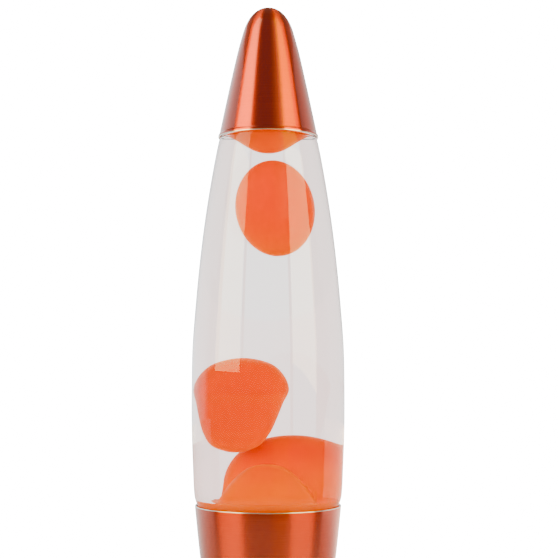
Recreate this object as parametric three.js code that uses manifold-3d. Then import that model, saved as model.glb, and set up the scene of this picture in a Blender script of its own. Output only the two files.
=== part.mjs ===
// A lava lamp: an hourglass base with a reflector bulb in it, a bullet-shaped glass bottle of wax
// and clear liquid that stands in the base, and a pointed cap over the bottle's neck.
// Millimetres, +Z up. The origin is on the table under the lamp's axis, and +Y is the back.
import * as THREE from "three";
import { mergeVertices } from "three/addons/utils/BufferGeometryUtils.js";
import Module from "manifold-3d";

const wasm = await Module();
wasm.setup();

// ---- Driving dimensions ----

const TOTAL_HEIGHT = 399;
const BASE_RIM_Z = 147;
const CAP_RIM_Z = 331.5;
const GAP = 0.3; // clearance between pieces that touch
const ROUND = 36; // segments of the big turned pieces
const SMALL_ROUND = 20; // segments of the small ones

const RIM_R = 36.5; // the base's rim, outside
const RIM_INNER_R = RIM_R - 0.6; // the rim is turned thin where the bottle rests
const WAIST_R = 27.8;
const WAIST_Z = 64;
const FOOT_R = 55;
const FOOT_BAND_TOP = 18; // height of the upright band at the foot
const SHELL_WALL = 1;
const FLANGE_Z = 4.3; // underside of the base's inturned flange
const FLANGE_INNER_R = 46;

const PLATE_R = 51.6;
const PLATE_THICK = 1;
const PLATE_TOP = FLANGE_Z - GAP;
const PLATE_BOTTOM = PLATE_TOP - PLATE_THICK;
const PLATE_SCREW_RING_R = 48.4;
const VENT_RING_R = 34;
const VENT_WIDTH = 3.6;
const VENT_COUNT = 8;
const VENT_HALF_ANGLE = THREE.MathUtils.degToRad(13);

const RUBBER_FOOT_R = 6.5;
const RUBBER_FOOT_RING_R = 41.5;

const SCREW_SHANK_R = 1.5;
const SCREW_HEAD_R = 2.9;
const SCREW_HEAD_HIGH = 1.7;
const SCREW_HOLE_R = SCREW_SHANK_R + GAP;
const TERMINAL_SCREW_R = 1;
const TERMINAL_HEAD_R = 1.9;

const GROMMET_Z = 11.4;
const GROMMET_HOLE_R = 2.95;
const GROMMET_NECK_R = 3.9;
const GROMMET_FLANGE_R = 4.9;

const HOLDER_FLOOR_Z = 9.3; // underside of the ceramic lampholder
const HOLDER_TOP_Z = 36;
const HOLDER_R = 13.3;
const HOLDER_COLLAR_R = HOLDER_R - 1.6; // above the shoulder that the terminals are under
const HOLDER_SHOULDER_Z = 22;
const HOLDER_BORE_R = 8.1;
const HOLDER_WELL_R = 6.6;
const HOLDER_WELL_Z = 11; // floor of the well under the bulb
const SLEEVE_LOW_Z = 19.8;
const SLEEVE_TOP_Z = 33;
const CONTACT_WIDTH = 4.4;
const CONTACT_SHEET = 0.4;
const TERMINAL_Y = 10.9;
const TERMINAL_Z = 13.5;
const BRACKET_SCREW_X = 19;
const BRACKET_HALF = 24; // half the bracket's span across its two feet
const BRACKET_WIDTH = 16;
const BRACKET_THICK = 1;

const BULB_CONTACT_Z = 14; // underside of the bulb's contact button
const BULB_TOP_Z = 80;
const BULB_R = 19.5;
const SCREW_PITCH = 2.82; // small Edison thread
const SCREW_MAJOR_R = 6.9;
const SCREW_MINOR_R = 6.2;
const SCREW_CAP_INNER_R = 5.7;
const SCREW_SKIRT_R = 7.1;
const BULB_GLASS_WALL = 0.8;
const LEAD_R = 0.3;
const FILAMENT_R = 0.5;
const STEM_TOP_Z = 46.5;
const FILAMENT_HALF = 6.8; // half the filament's span
const FILAMENT_Z = 60;

const BOTTLE_FLOOR_Z = 92; // underside of the bottle
const BOTTLE_WALL = 2.2;
const BOTTLE_TOP_Z = 366;
const NECK_R = 13;
const NECK_BORE_R = 10.4;

const COIL_RING_R = 19.5; // heating coil ring at the bottle's bottom
const COIL_TURN_R = 2.6;
const COIL_WIRE_R = 0.45;
const COIL_TURNS = 14;
const COIL_Z = 99.3;

const WAX_CLEARANCE = 0.4; // between the wax and the inside of the bottle
const POOL_LEVEL = 150.3;
// A mound's height falls off as (1 - share ** flat) ** steep, where share is the way out to its reach.
const FRONT_MOUND = { x: -0.5, y: -11.5, reachX: 21, reachY: 20.5, height: 18.2, flat: 2.5, steep: 1.35 };
const REAR_MOUND = { x: 8, y: 13, reachX: 23.2, reachY: 20, height: 31.5, flat: 2.1, steep: 0.36 };
const LOWER_BLOB = { x: -11.6, z: 190, lean: 0.07 }; // lean is the shift along X for each mm of height
const UPPER_BLOB = { x: 2.6, z: 293.7, lean: -0.04, halfWidth: 15, halfHeight: 24.1 };
const WAX_TOP_LOW_Z = 321.2;
const WAX_TOP_HIGH_Z = 352;

const CAP_WALL = 0.9;
const CAP_BEAD_R = 25.45;
const CAP_TIP_Z = 385.5; // where the straight side turns into the round tip
const CAP_TIP_R = 13.1;
const CROWN_R = 14.8; // at the edge of the skirt
const CROWN_SKIRT = 5.8;
const CROWN_SHEET = 0.35;
const CROWN_FLUTES = 21;
const LINER_R = 12.3;
const LINER_THICK = 0.8;

// ---- Finishes ----

const finish = (color, roughness, metalness) =>
  new THREE.MeshStandardMaterial({ color, roughness, metalness });
const copperFinish = finish(0xc4622e, 0.3, 1);
const steelFinish = finish(0xb8b8b4, 0.4, 1);
const brassFinish = finish(0xc9a24a, 0.35, 1);
const rubberFinish = finish(0x1c1c1c, 0.85, 0);
const ceramicFinish = finish(0xf1efe8, 0.3, 0);
const vitriteFinish = finish(0x15131c, 0.2, 0);
const tungstenFinish = finish(0x5a5a5e, 0.5, 1);
const waxFinish = finish(0xee6a2c, 0.35, 0);
const crownFinish = finish(0xd9d9d6, 0.3, 1);
const linerFinish = finish(0xdfe6e0, 0.6, 0);
const glassFinish = finish(0xe9eeee, 0.05, 0);
glassFinish.transparent = true;
glassFinish.opacity = 0.3;
const bulbGlassFinish = finish(0xe8e8ea, 0.35, 0.3);

// ---- Helpers ----

const v2 = (r, z) => new THREE.Vector2(r, z);
const degrees = THREE.MathUtils.degToRad;

// The point of the plane at a distance and an angle from the axis.
const polar = (radius, angle) => v2(radius * Math.cos(angle), radius * Math.sin(angle));

// A turned body about +Z. profile is a list of (radius, height) that starts and ends on the axis, or a
// loop that ends where it starts, with the material on its left.
function turned(profile, segments = SMALL_ROUND) {
  return new THREE.LatheGeometry(profile, segments).rotateX(Math.PI / 2);
}

// A body like a turned one whose profile changes round the axis: profileAt(angle) gives it, always
// with the same number of points, and angle is measured from +X towards +Y.
function shapedRound(profileAt, segments) {
  const count = profileAt(0).length;
  const geometry = turned(profileAt(0), segments);
  const position = geometry.getAttribute("position");
  for (let side = 0; side <= segments; side++) {
    const angle = (2 * Math.PI * (side % segments)) / segments - Math.PI / 2;
    profileAt(angle).forEach((point, i) => {
      const place = polar(point.x, angle);
      position.setXYZ(side * count + i, place.x, place.y, point.y);
    });
  }
  return geometry;
}

// Points of a cubic curve between two points with two pulls.
const bend = (a, pullA, pullB, b, steps) =>
  new THREE.CubicBezierCurve(a, pullA, pullB, b).getPoints(steps);

// The same outline moved sideways by a distance, to the left of its direction.
function offset(points, distance) {
  return points.map((point, i) => {
    const before = points[Math.max(i - 1, 0)];
    const after = points[Math.min(i + 1, points.length - 1)];
    const along = after.clone().sub(before).normalize();
    return v2(point.x - along.y * distance, point.y + along.x * distance);
  });
}

const closed = (points) => [...points, points[0].clone()];

function solidOf(geometry) {
  const bare = geometry.clone();
  bare.deleteAttribute("normal");
  bare.deleteAttribute("uv");
  const merged = mergeVertices(bare, 1e-4);
  return new wasm.Manifold(
    new wasm.Mesh({
      numProp: 3,
      vertProperties: new Float32Array(merged.getAttribute("position").array),
      triVerts: new Uint32Array(merged.index.array),
    }),
  );
}

function geometryOf(solid) {
  const mesh = solid.getMesh();
  const geometry = new THREE.BufferGeometry();
  geometry.setAttribute("position", new THREE.BufferAttribute(mesh.vertProperties, 3));
  geometry.setIndex(new THREE.BufferAttribute(mesh.triVerts, 1));
  geometry.computeVertexNormals();
  return geometry;
}

// body with each of the cutters taken away.
function cut(body, ...cutters) {
  return geometryOf(cutters.reduce((left, cutter) => left.subtract(solidOf(cutter)), solidOf(body)));
}

// A round rod along +Z between two heights.
const rod = (radius, low, high, segments = 16) =>
  turned([v2(0, low), v2(radius, low), v2(radius, high), v2(0, high)], segments);

// The corners of a regular polygon about a place in the plane.
function ring(middle, radius, sides) {
  const corner = (i) => polar(radius, (2 * Math.PI * i) / sides).add(middle);
  return Array.from({ length: sides }, (_, i) => corner(i));
}

const roundHole = (middle, radius, sides = 12) => new THREE.Path(ring(middle, radius, sides));

// A wire of round section along a path.
function wire(path, radius, steps, sides) {
  const section = new THREE.Shape(ring(v2(0, 0), radius, sides));
  return new THREE.ExtrudeGeometry(section, { steps, bevelEnabled: false, extrudePath: path });
}

const lamp = new THREE.Group();

function add(name, geometry, material, parent = lamp) {
  const mesh = new THREE.Mesh(geometry, material);
  mesh.name = name;
  parent.add(mesh);
  return mesh;
}

// ---- Base shell ----

// The outside of the hourglass, from the rim down to the foot band.
function baseOutline() {
  const rim = v2(RIM_R, BASE_RIM_Z);
  const waist = v2(WAIST_R, WAIST_Z);
  const foot = v2(FOOT_R - 0.8, FOOT_BAND_TOP);
  const upper = bend(rim, v2(32.8, 107.6), v2(28.6, 88), waist, 6);
  const lower = bend(waist, v2(27.2, 45), v2(39, 31), foot, 7);
  return [...upper, ...lower.slice(1)];
}

function baseShell() {
  const outside = baseOutline();
  const inside = offset(outside, -SHELL_WALL);
  const shell = turned(
    closed([
      v2(FLANGE_INNER_R, FLANGE_Z),
      v2(FOOT_R - 1.8, FLANGE_Z),
      v2(FOOT_R - 0.6, FLANGE_Z + 0.6),
      v2(FOOT_R, FLANGE_Z + 1.9),
      v2(FOOT_R, FOOT_BAND_TOP - 1),
      ...outside.slice(1).reverse(),
      v2(RIM_R, BASE_RIM_Z - 0.3),
      v2(RIM_R - 0.3, BASE_RIM_Z),
      v2(RIM_INNER_R, BASE_RIM_Z - 0.3),
      ...inside.slice(1, -1),
      v2(FOOT_R - 2, FOOT_BAND_TOP - SHELL_WALL),
      v2(FOOT_R - SHELL_WALL, FOOT_BAND_TOP - SHELL_WALL - 1),
      v2(FOOT_R - SHELL_WALL, FLANGE_Z + 2.1),
      v2(FOOT_R - 1.8, FLANGE_Z + SHELL_WALL),
      v2(FLANGE_INNER_R, FLANGE_Z + SHELL_WALL),
    ]),
    ROUND,
  );
  const screwHoles = screwPlaces().map((place) =>
    rod(SCREW_HOLE_R, FLANGE_Z - 1, FLANGE_Z + 3).translate(place.x, place.y, 0),
  );
  const cordHole = rod(GROMMET_NECK_R + GAP, FOOT_R - 5, FOOT_R + 5, SMALL_ROUND)
    .rotateX(-Math.PI / 2)
    .translate(0, 0, GROMMET_Z);
  return cut(shell, cordHole, ...screwHoles);
}

// The bottom plate's three screws, the first one at the front.
const screwPlaces = () => [-90, 30, 150].map((angle) => polar(PLATE_SCREW_RING_R, degrees(angle)));

// ---- Bottom plate, its screws and the feet ----

// One arc-shaped vent through the plate, about an angle on the vents' ring.
function vent(middle) {
  const side = (radius, turn) =>
    [-1, -0.5, 0, 0.5, 1].map((share) => polar(radius, middle + VENT_HALF_ANGLE * share * turn));
  const outer = side(VENT_RING_R + VENT_WIDTH / 2, 1);
  const inner = side(VENT_RING_R - VENT_WIDTH / 2, -1);
  return new THREE.Path([...outer, ...inner]);
}

function bottomPlate() {
  const disc = new THREE.Shape(ring(v2(0, 0), PLATE_R, ROUND));
  for (let i = 0; i < VENT_COUNT; i++) {
    disc.holes.push(vent((2 * Math.PI * (i + 0.5)) / VENT_COUNT));
  }
  const holes = [...screwPlaces(), v2(-BRACKET_SCREW_X, 0), v2(BRACKET_SCREW_X, 0)];
  holes.forEach((place) => disc.holes.push(roundHole(place, SCREW_HOLE_R)));
  const plate = new THREE.ExtrudeGeometry(disc, { depth: PLATE_THICK, bevelEnabled: false });
  return plate.translate(0, 0, PLATE_BOTTOM);
}

// A pan-head screw with a cross recess: its head's bearing face is at z = 0 and its shank runs up.
function panScrew(length, shankR = SCREW_SHANK_R, headR = SCREW_HEAD_R) {
  const body = turned(
    [
      v2(0, -SCREW_HEAD_HIGH),
      v2(headR * 0.7, -SCREW_HEAD_HIGH),
      v2(headR, -SCREW_HEAD_HIGH * 0.45),
      v2(headR, 0),
      v2(shankR, 0),
      v2(shankR, length),
      v2(0, length),
    ],
    12,
  );
  const slot = (turn) =>
    new THREE.BoxGeometry(headR / 4, headR, 1.6).rotateZ(turn).translate(0, 0, -SCREW_HEAD_HIGH);
  return cut(body, slot(0), slot(Math.PI / 2));
}

function rubberFoot() {
  const top = PLATE_BOTTOM - GAP;
  const edge = [v2(RUBBER_FOOT_R - 0.8, 0), v2(RUBBER_FOOT_R - 0.1, 0.7), v2(RUBBER_FOOT_R, top)];
  return turned([v2(0, 0), ...edge, v2(0, top)]);
}

// The cord's rubber grommet, turned about the hole's axis, with a groove for the shell's wall.
function cordGrommet() {
  const wallOuter = FOOT_R + GAP;
  const wallInner = FOOT_R - SHELL_WALL - 0.4 - GAP;
  return turned(
    closed([
      v2(GROMMET_HOLE_R, wallInner - 2.2),
      v2(GROMMET_FLANGE_R - 0.9, wallInner - 2.2),
      v2(GROMMET_FLANGE_R, wallInner - 1),
      v2(GROMMET_FLANGE_R, wallInner),
      v2(GROMMET_NECK_R, wallInner),
      v2(GROMMET_NECK_R, wallOuter),
      v2(GROMMET_FLANGE_R, wallOuter),
      v2(GROMMET_FLANGE_R - 0.3, wallOuter + 1),
      v2(GROMMET_HOLE_R + 0.8, wallOuter + 2),
      v2(GROMMET_HOLE_R, wallOuter + 1.4),
    ]),
  )
    .rotateX(-Math.PI / 2)
    .translate(0, 0, GROMMET_Z);
}

// ---- Lampholder ----

// The hat-shaped steel strip that carries the lampholder over the plate.
function holderBracket() {
  const low = PLATE_TOP + GAP;
  const high = HOLDER_FLOOR_Z - GAP;
  const footTop = low + BRACKET_THICK;
  const over = [v2(BRACKET_HALF, low), v2(BRACKET_HALF, footTop), v2(14.5, footTop), v2(13, high)];
  const under = [v2(12.1, high - BRACKET_THICK), v2(13.6, low)];
  const mirrored = (points) => points.map((point) => v2(-point.x, point.y)).reverse();
  const outline = new THREE.Shape([...over, ...mirrored(over), ...mirrored(under), ...under]);
  const strip = new THREE.ExtrudeGeometry(outline, { depth: BRACKET_WIDTH, bevelEnabled: false })
    .rotateX(Math.PI / 2)
    .translate(0, BRACKET_WIDTH / 2, 0);
  const hole = (side) => rod(SCREW_HOLE_R, low - 2, low + 3).translate(side * BRACKET_SCREW_X, 0, 0);
  return cut(strip, hole(1), hole(-1));
}

function lampholderBody() {
  const body = turned([
    v2(0, HOLDER_FLOOR_Z),
    v2(HOLDER_R - 1, HOLDER_FLOOR_Z),
    v2(HOLDER_R, HOLDER_FLOOR_Z + 1),
    v2(HOLDER_R, HOLDER_SHOULDER_Z - 2),
    v2(HOLDER_COLLAR_R, HOLDER_SHOULDER_Z),
    v2(HOLDER_COLLAR_R, HOLDER_TOP_Z - 1),
    v2(HOLDER_COLLAR_R - 1, HOLDER_TOP_Z),
    v2(HOLDER_BORE_R + 0.8, HOLDER_TOP_Z),
    v2(HOLDER_BORE_R, HOLDER_TOP_Z - 0.8),
    v2(HOLDER_BORE_R, SLEEVE_LOW_Z - GAP),
    v2(HOLDER_WELL_R, SLEEVE_LOW_Z - GAP),
    v2(HOLDER_WELL_R, HOLDER_WELL_Z),
    v2(0, HOLDER_WELL_Z),
  ]);
  const pocket = (side) =>
    new THREE.BoxGeometry(4.6, 5.4, 9).translate(0, side * (TERMINAL_Y + 0.8), TERMINAL_Z);
  return cut(body, pocket(1), pocket(-1));
}

function lampholderSleeve() {
  const inner = SCREW_MAJOR_R + 0.5;
  const outer = HOLDER_BORE_R - GAP;
  const low = SLEEVE_LOW_Z;
  const top = SLEEVE_TOP_Z;
  return turned(closed([v2(inner, low), v2(outer, low), v2(outer, top), v2(inner, top)]));
}

// The springy strip, folded back on itself, under the bulb's contact button.
function lampholderContact() {
  const low = HOLDER_WELL_Z + GAP;
  const high = BULB_CONTACT_Z - 0.4;
  const sheet = CONTACT_SHEET;
  const strip = new THREE.Shape([
    v2(-4.6, low),
    v2(4.2, low),
    v2(5, low + 0.8),
    v2(5, high - 0.8),
    v2(4.2, high),
    v2(-1.4, high),
    v2(-1.4, high - sheet),
    v2(4, high - sheet),
    v2(5 - sheet, high - 1),
    v2(5 - sheet, low + 1),
    v2(4, low + sheet),
    v2(-4.6, low + sheet),
  ]);
  return new THREE.ExtrudeGeometry(strip, { depth: CONTACT_WIDTH, bevelEnabled: false })
    .rotateX(Math.PI / 2)
    .translate(0, CONTACT_WIDTH / 2, 0);
}

// ---- Bulb ----

function bulbEnvelope() {
  const neckLow = BULB_CONTACT_Z + 17.3;
  const neckTop = v2(6.2, neckLow + 5.7);
  const bowlTop = v2(BULB_R - 0.1, BULB_TOP_Z - 14);
  const faceEdge = v2(18.7, BULB_TOP_Z - 9.6);
  const outside = [
    v2(6.2, neckLow),
    ...bend(neckTop, v2(7.5, 45), v2(17, 52), bowlTop, 5),
    v2(BULB_R, BULB_TOP_Z - 12.5),
    ...bend(faceEdge, v2(14.5, BULB_TOP_Z - 3), v2(7, BULB_TOP_Z), v2(0, BULB_TOP_Z), 4),
  ];
  const inside = offset(outside, BULB_GLASS_WALL);
  inside[inside.length - 1].x = 0;
  return turned([...inside.reverse(), ...outside]);
}

// The rolled screw cap: ridges a thread's pitch apart under a plain skirt that holds the glass.
function bulbScrewCap() {
  const low = BULB_CONTACT_Z + 5.5;
  const skirtLow = BULB_CONTACT_Z + 17;
  const skirtTop = BULB_CONTACT_Z + 21;
  const ridges = [];
  for (let z = low; z < skirtLow - 0.5; z += SCREW_PITCH / 4) {
    const rise = (1 - Math.cos((2 * Math.PI * (z - low)) / SCREW_PITCH)) / 2;
    ridges.push(v2(SCREW_MINOR_R + (SCREW_MAJOR_R - SCREW_MINOR_R) * rise, z));
  }
  const skirt = [v2(SCREW_SKIRT_R, skirtLow + 0.5), v2(SCREW_SKIRT_R, skirtTop)];
  const inside = [
    v2(SCREW_SKIRT_R - 0.5, skirtTop),
    v2(SCREW_SKIRT_R - 0.5, skirtLow),
    v2(SCREW_CAP_INNER_R, skirtLow - 0.4),
    v2(SCREW_CAP_INNER_R, low),
  ];
  return turned(closed([...ridges, ...skirt, ...inside]));
}

function bulbInsulator() {
  const low = BULB_CONTACT_Z + 1.8;
  const top = BULB_CONTACT_Z + 5.5 - GAP;
  return turned([v2(0, low), v2(2.6, low), v2(5.9, top - 0.5), v2(5.9, top), v2(0, top)]);
}

function bulbContact() {
  const low = BULB_CONTACT_Z;
  const top = low + 1.5;
  return turned([v2(0, low), v2(1.6, low + 0.1), v2(2.4, low + 0.7), v2(2.4, top), v2(0, top)]);
}

function bulbStem() {
  return turned([
    v2(0, STEM_TOP_Z - 13.5),
    v2(4.9, STEM_TOP_Z - 13.5),
    v2(4.9, STEM_TOP_Z - 12.7),
    v2(2.6, STEM_TOP_Z - 9.5),
    v2(2.2, STEM_TOP_Z - 1.5),
    v2(1.6, STEM_TOP_Z),
    v2(0, STEM_TOP_Z),
  ]);
}

function bulbLead(side) {
  const path = new THREE.CubicBezierCurve3(
    new THREE.Vector3(side * 0.9, 0, STEM_TOP_Z + GAP),
    new THREE.Vector3(side * 1.4, 0, STEM_TOP_Z + 5),
    new THREE.Vector3(side * 6, 0, STEM_TOP_Z + 7),
    new THREE.Vector3(side * FILAMENT_HALF, 0, FILAMENT_Z - 0.9),
  );
  return wire(path, LEAD_R, 6, 6);
}

function bulbFilament() {
  const path = new THREE.QuadraticBezierCurve3(
    new THREE.Vector3(-FILAMENT_HALF, 0, FILAMENT_Z),
    new THREE.Vector3(0, 0, FILAMENT_Z + 5),
    new THREE.Vector3(FILAMENT_HALF, 0, FILAMENT_Z),
  );
  return wire(path, FILAMENT_R, 10, 6);
}

// ---- Bottle ----

// The outside of the bottle's wall from the heel up to the foot of the neck.
const bottleWall = new THREE.SplineCurve([
  v2(27.4, 97),
  v2(31.3, 121),
  v2(34.1, 140),
  v2(35.4, BASE_RIM_Z),
  v2(36.8, 152.5),
  v2(37.5, 165),
  v2(38.25, 186),
  v2(38.35, 207),
  v2(38, 226),
  v2(36.5, 247),
  v2(34.55, 268.3),
  v2(32, 289.6),
  v2(28.7, 311),
  v2(25.3, 329),
  v2(23.7, 332.4),
  v2(21.6, 336.5),
  v2(17.8, 344),
  v2(NECK_R, 353),
]);

const bottleOutside = bottleWall.getPoints(16);
const bottleInside = offset(bottleOutside, BOTTLE_WALL).filter((point) => point.y < WAX_TOP_HIGH_Z - 1);

// The radius of the space inside the bottle at a height.
function boreAt(z) {
  const above = bottleInside.findIndex((point) => point.y >= z);
  if (above <= 0) {
    return bottleInside[0].x;
  }
  const [a, b] = [bottleInside[above - 1], bottleInside[above]];
  return a.x + ((b.x - a.x) * (z - a.y)) / (b.y - a.y);
}

function bottleGlass() {
  const floor = BOTTLE_FLOOR_Z;
  const finishLow = BOTTLE_TOP_Z - 6;
  return turned(
    [
      v2(0, floor + 3),
      v2(9, floor + 2.4),
      v2(16, floor + 0.4),
      v2(18, floor),
      v2(23, floor),
      v2(25.8, floor + 1.5),
      ...bottleOutside,
      v2(NECK_R, finishLow),
      v2(NECK_R + 0.5, finishLow + 1),
      v2(NECK_R + 0.5, BOTTLE_TOP_Z - 1.5),
      v2(NECK_R - 0.6, BOTTLE_TOP_Z),
      v2(NECK_BORE_R + 0.6, BOTTLE_TOP_Z),
      v2(NECK_BORE_R, BOTTLE_TOP_Z - 0.8),
      v2(NECK_BORE_R, 355.5),
      ...[...bottleInside].reverse(),
      v2(23.4, floor + 4.4),
      v2(21, floor + 3.6),
      v2(17.4, floor + 3.6),
      v2(9, floor + 5.8),
      v2(0, floor + 6.6),
    ],
    ROUND,
  );
}

// The crown's skirt is fluted: its radius waves more towards the edge.
function crownCap() {
  const top = BOTTLE_TOP_Z + 1.8;
  const shoulder = CROWN_R - 0.6;
  return shapedRound((angle) => {
    const edge = CROWN_R + 0.4 * Math.cos(CROWN_FLUTES * angle);
    return [
      v2(0, top - CROWN_SHEET),
      v2(CROWN_R - 1.8, top - CROWN_SHEET),
      v2(shoulder, top - 1.7),
      v2(edge, top - CROWN_SKIRT),
      v2(edge + CROWN_SHEET, top - CROWN_SKIRT),
      v2(shoulder + CROWN_SHEET, top - 1.6),
      v2(CROWN_R - 1.6, top),
      v2(0, top),
    ];
  }, CROWN_FLUTES * 3);
}

function crownLiner() {
  const low = BOTTLE_TOP_Z + GAP;
  return rod(LINER_R, low, low + LINER_THICK, SMALL_ROUND);
}

// The coil of wire that lies on the bottle's floor, bent round into a ring.
class CoilRing extends THREE.Curve {
  getPoint(t, target = new THREE.Vector3()) {
    const around = 2 * Math.PI * (0.01 + 0.98 * t);
    const twist = 2 * Math.PI * COIL_TURNS * t;
    const place = polar(COIL_RING_R + COIL_TURN_R * Math.cos(twist), around);
    return target.set(place.x, place.y, COIL_Z + COIL_TURN_R * Math.sin(twist));
  }
}

// ---- Wax ----

// A mound's height over the pool's level at a place.
function moundHeight(mound, x, y) {
  const share = Math.hypot((x - mound.x) / mound.reachX, (y - mound.y) / mound.reachY);
  return share >= 1 ? 0 : mound.height * (1 - share ** mound.flat) ** mound.steep;
}

const waxSurface = (x, y) =>
  POOL_LEVEL + Math.max(moundHeight(FRONT_MOUND, x, y), moundHeight(REAR_MOUND, x, y));

// The pool fills the bottle's bottom and closes round the heating coil, which lies in a channel.
function waxPool() {
  const channelHalf = COIL_TURN_R + COIL_WIRE_R + WAX_CLEARANCE;
  const channelInner = COIL_RING_R - channelHalf;
  const channelOuter = COIL_RING_R + channelHalf;
  const channelTop = COIL_Z + channelHalf;
  const floor = BOTTLE_FLOOR_Z + 4.1;
  const wallLow = BOTTLE_FLOOR_Z + 8;
  const surfaceAt = (radius, angle) => {
    const place = polar(radius, angle);
    return waxSurface(place.x, place.y);
  };
  return shapedRound((angle) => {
    const wallTop = surfaceAt(boreAt(POOL_LEVEL + 10) - WAX_CLEARANCE, angle);
    const wall = [0.15, 0.4, 0.65, 0.85, 1].map((share) => {
      const z = wallLow + (wallTop - wallLow) * share;
      return v2(boreAt(z) - WAX_CLEARANCE, z);
    });
    const reach = wall[wall.length - 1].x;
    const surface = [0.94, 0.86, 0.76, 0.66, 0.55, 0.44, 0.33, 0.22, 0.11, 0].map((share) =>
      v2(reach * share, surfaceAt(reach * share, angle)),
    );
    return [
      v2(0, floor + 3),
      v2(9, floor + 2.2),
      v2(channelInner, floor + 0.6),
      v2(channelInner, channelTop),
      v2(channelOuter, channelTop),
      v2(channelOuter, floor + 2.4),
      ...wall,
      ...surface,
    ];
  }, ROUND);
}

// The geometry moved to a blob's place, and leaned about the height that its place is given at.
function leaned(geometry, blob) {
  const position = geometry.getAttribute("position");
  for (let i = 0; i < position.count; i++) {
    const shift = blob.x + blob.lean * (position.getZ(i) - blob.z);
    position.setX(i, position.getX(i) + shift);
  }
  return geometry;
}

// The pear-shaped blob that has just left the pool.
function waxBlobLower() {
  const outline = new THREE.SplineCurve([
    v2(0, 173.8),
    v2(8.5, 176.6),
    v2(12.6, 183),
    v2(14.8, 190),
    v2(16.6, 197.5),
    v2(18.4, 204.5),
    v2(15.6, 212),
    v2(10, 217.4),
    v2(0, 219.8),
  ]).getPoints(16);
  return leaned(turned(outline), LOWER_BLOB);
}

function waxBlobUpper() {
  const { halfWidth, halfHeight, z } = UPPER_BLOB;
  const egg = new THREE.SphereGeometry(1, SMALL_ROUND, 12).rotateX(Math.PI / 2);
  return leaned(egg.scale(halfWidth, halfWidth, halfHeight).translate(0, 0, z), UPPER_BLOB);
}

// Wax that has risen to the bottle's shoulder: it hangs from the neck, and widens where it meets the wall.
function waxTop() {
  const low = WAX_TOP_LOW_Z;
  const high = WAX_TOP_HIGH_Z;
  const hang = bend(v2(0, low), v2(7, low), v2(9.5, low + 6.3), v2(16.6, low + 10.3), 6);
  const roof = [v2(16.3, high - 11), v2(13.4, high - 6), v2(9.5, high - 2.5), v2(5, high - 0.6)];
  return turned([...hang, ...roof, v2(0, high)]);
}

// ---- Top cap ----

function capShell() {
  const tipFoot = v2(CAP_TIP_R, CAP_TIP_Z);
  const tip = bend(tipFoot, v2(11.2, 392.4), v2(7.2, TOTAL_HEIGHT), v2(0, TOTAL_HEIGHT), 5);
  const side = new THREE.SplineCurve([
    v2(24.85, CAP_RIM_Z + 2),
    v2(23.1, 342),
    v2(19.6, 358.5),
    v2(15.9, 375.1),
    tipFoot,
  ]).getPoints(6);
  const outside = [...side, ...tip.slice(1)];
  const inside = offset(outside, CAP_WALL);
  inside[inside.length - 1].x = 0;
  const bead = [
    v2(CAP_BEAD_R - 0.45, CAP_RIM_Z + 0.3),
    v2(CAP_BEAD_R - 0.2, CAP_RIM_Z),
    v2(CAP_BEAD_R, CAP_RIM_Z + 0.3),
    v2(CAP_BEAD_R, CAP_RIM_Z + 1.2),
  ];
  return turned([...inside.reverse(), ...bead, ...outside], ROUND);
}

// ---- Assembly ----

const base = new THREE.Group();
const bulb = new THREE.Group();
const bottle = new THREE.Group();
lamp.add(base, bulb, bottle);

add("base_shell", baseShell(), copperFinish, base);
add("bottom_plate", bottomPlate(), steelFinish, base);
screwPlaces().forEach((place, i) => {
  const plateScrew = add(`plate_screw_${i + 1}`, panScrew(5.5), steelFinish, base);
  plateScrew.position.set(place.x, place.y, PLATE_BOTTOM - GAP);
});
[45, 135, 225, 315].forEach((angle, i) => {
  const place = polar(RUBBER_FOOT_RING_R, degrees(angle));
  const foot = add(`foot_${i + 1}`, rubberFoot(), rubberFinish, base);
  foot.position.set(place.x, place.y, 0);
});
add("cord_grommet", cordGrommet(), rubberFinish, base);
add("holder_bracket", holderBracket(), steelFinish, base);
add("lampholder_body", lampholderBody(), ceramicFinish, base);
add("lampholder_sleeve", lampholderSleeve(), brassFinish, base);
add("lampholder_contact", lampholderContact(), brassFinish, base);
[-1, 1].forEach((side, i) => {
  const bracketScrew = add(`bracket_screw_${i + 1}`, panScrew(4.4), steelFinish, base);
  bracketScrew.rotation.x = Math.PI;
  bracketScrew.position.set(side * BRACKET_SCREW_X, 0, PLATE_TOP + GAP + BRACKET_THICK + GAP);
  const terminalScrew = panScrew(1.5, TERMINAL_SCREW_R, TERMINAL_HEAD_R);
  const terminal = add(`terminal_screw_${i + 1}`, terminalScrew, brassFinish, base);
  terminal.rotation.x = (side * Math.PI) / 2;
  terminal.position.set(0, side * TERMINAL_Y, TERMINAL_Z);
});

add("bulb_envelope", bulbEnvelope(), bulbGlassFinish, bulb);
add("bulb_screw_cap", bulbScrewCap(), steelFinish, bulb);
add("bulb_insulator", bulbInsulator(), vitriteFinish, bulb);
add("bulb_contact", bulbContact(), steelFinish, bulb);
add("bulb_stem", bulbStem(), glassFinish, bulb);
[-1, 1].forEach((side, i) => add(`bulb_lead_${i + 1}`, bulbLead(side), steelFinish, bulb));
add("bulb_filament", bulbFilament(), tungstenFinish, bulb);

add("bottle_glass", bottleGlass(), glassFinish, bottle);
add("crown_cap", crownCap(), crownFinish, bottle);
add("crown_liner", crownLiner(), linerFinish, bottle);
add("heating_coil", wire(new CoilRing(), COIL_WIRE_R, COIL_TURNS * 6, 4), steelFinish, bottle);
add("wax_pool", waxPool(), waxFinish, bottle);
add("wax_blob_lower", waxBlobLower(), waxFinish, bottle);
add("wax_blob_upper", waxBlobUpper(), waxFinish, bottle);
add("wax_top", waxTop(), waxFinish, bottle);

add("cap_shell", capShell(), copperFinish);

export default lamp;
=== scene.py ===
import math

import bpy
from mathutils import Euler, Matrix, Vector

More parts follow.
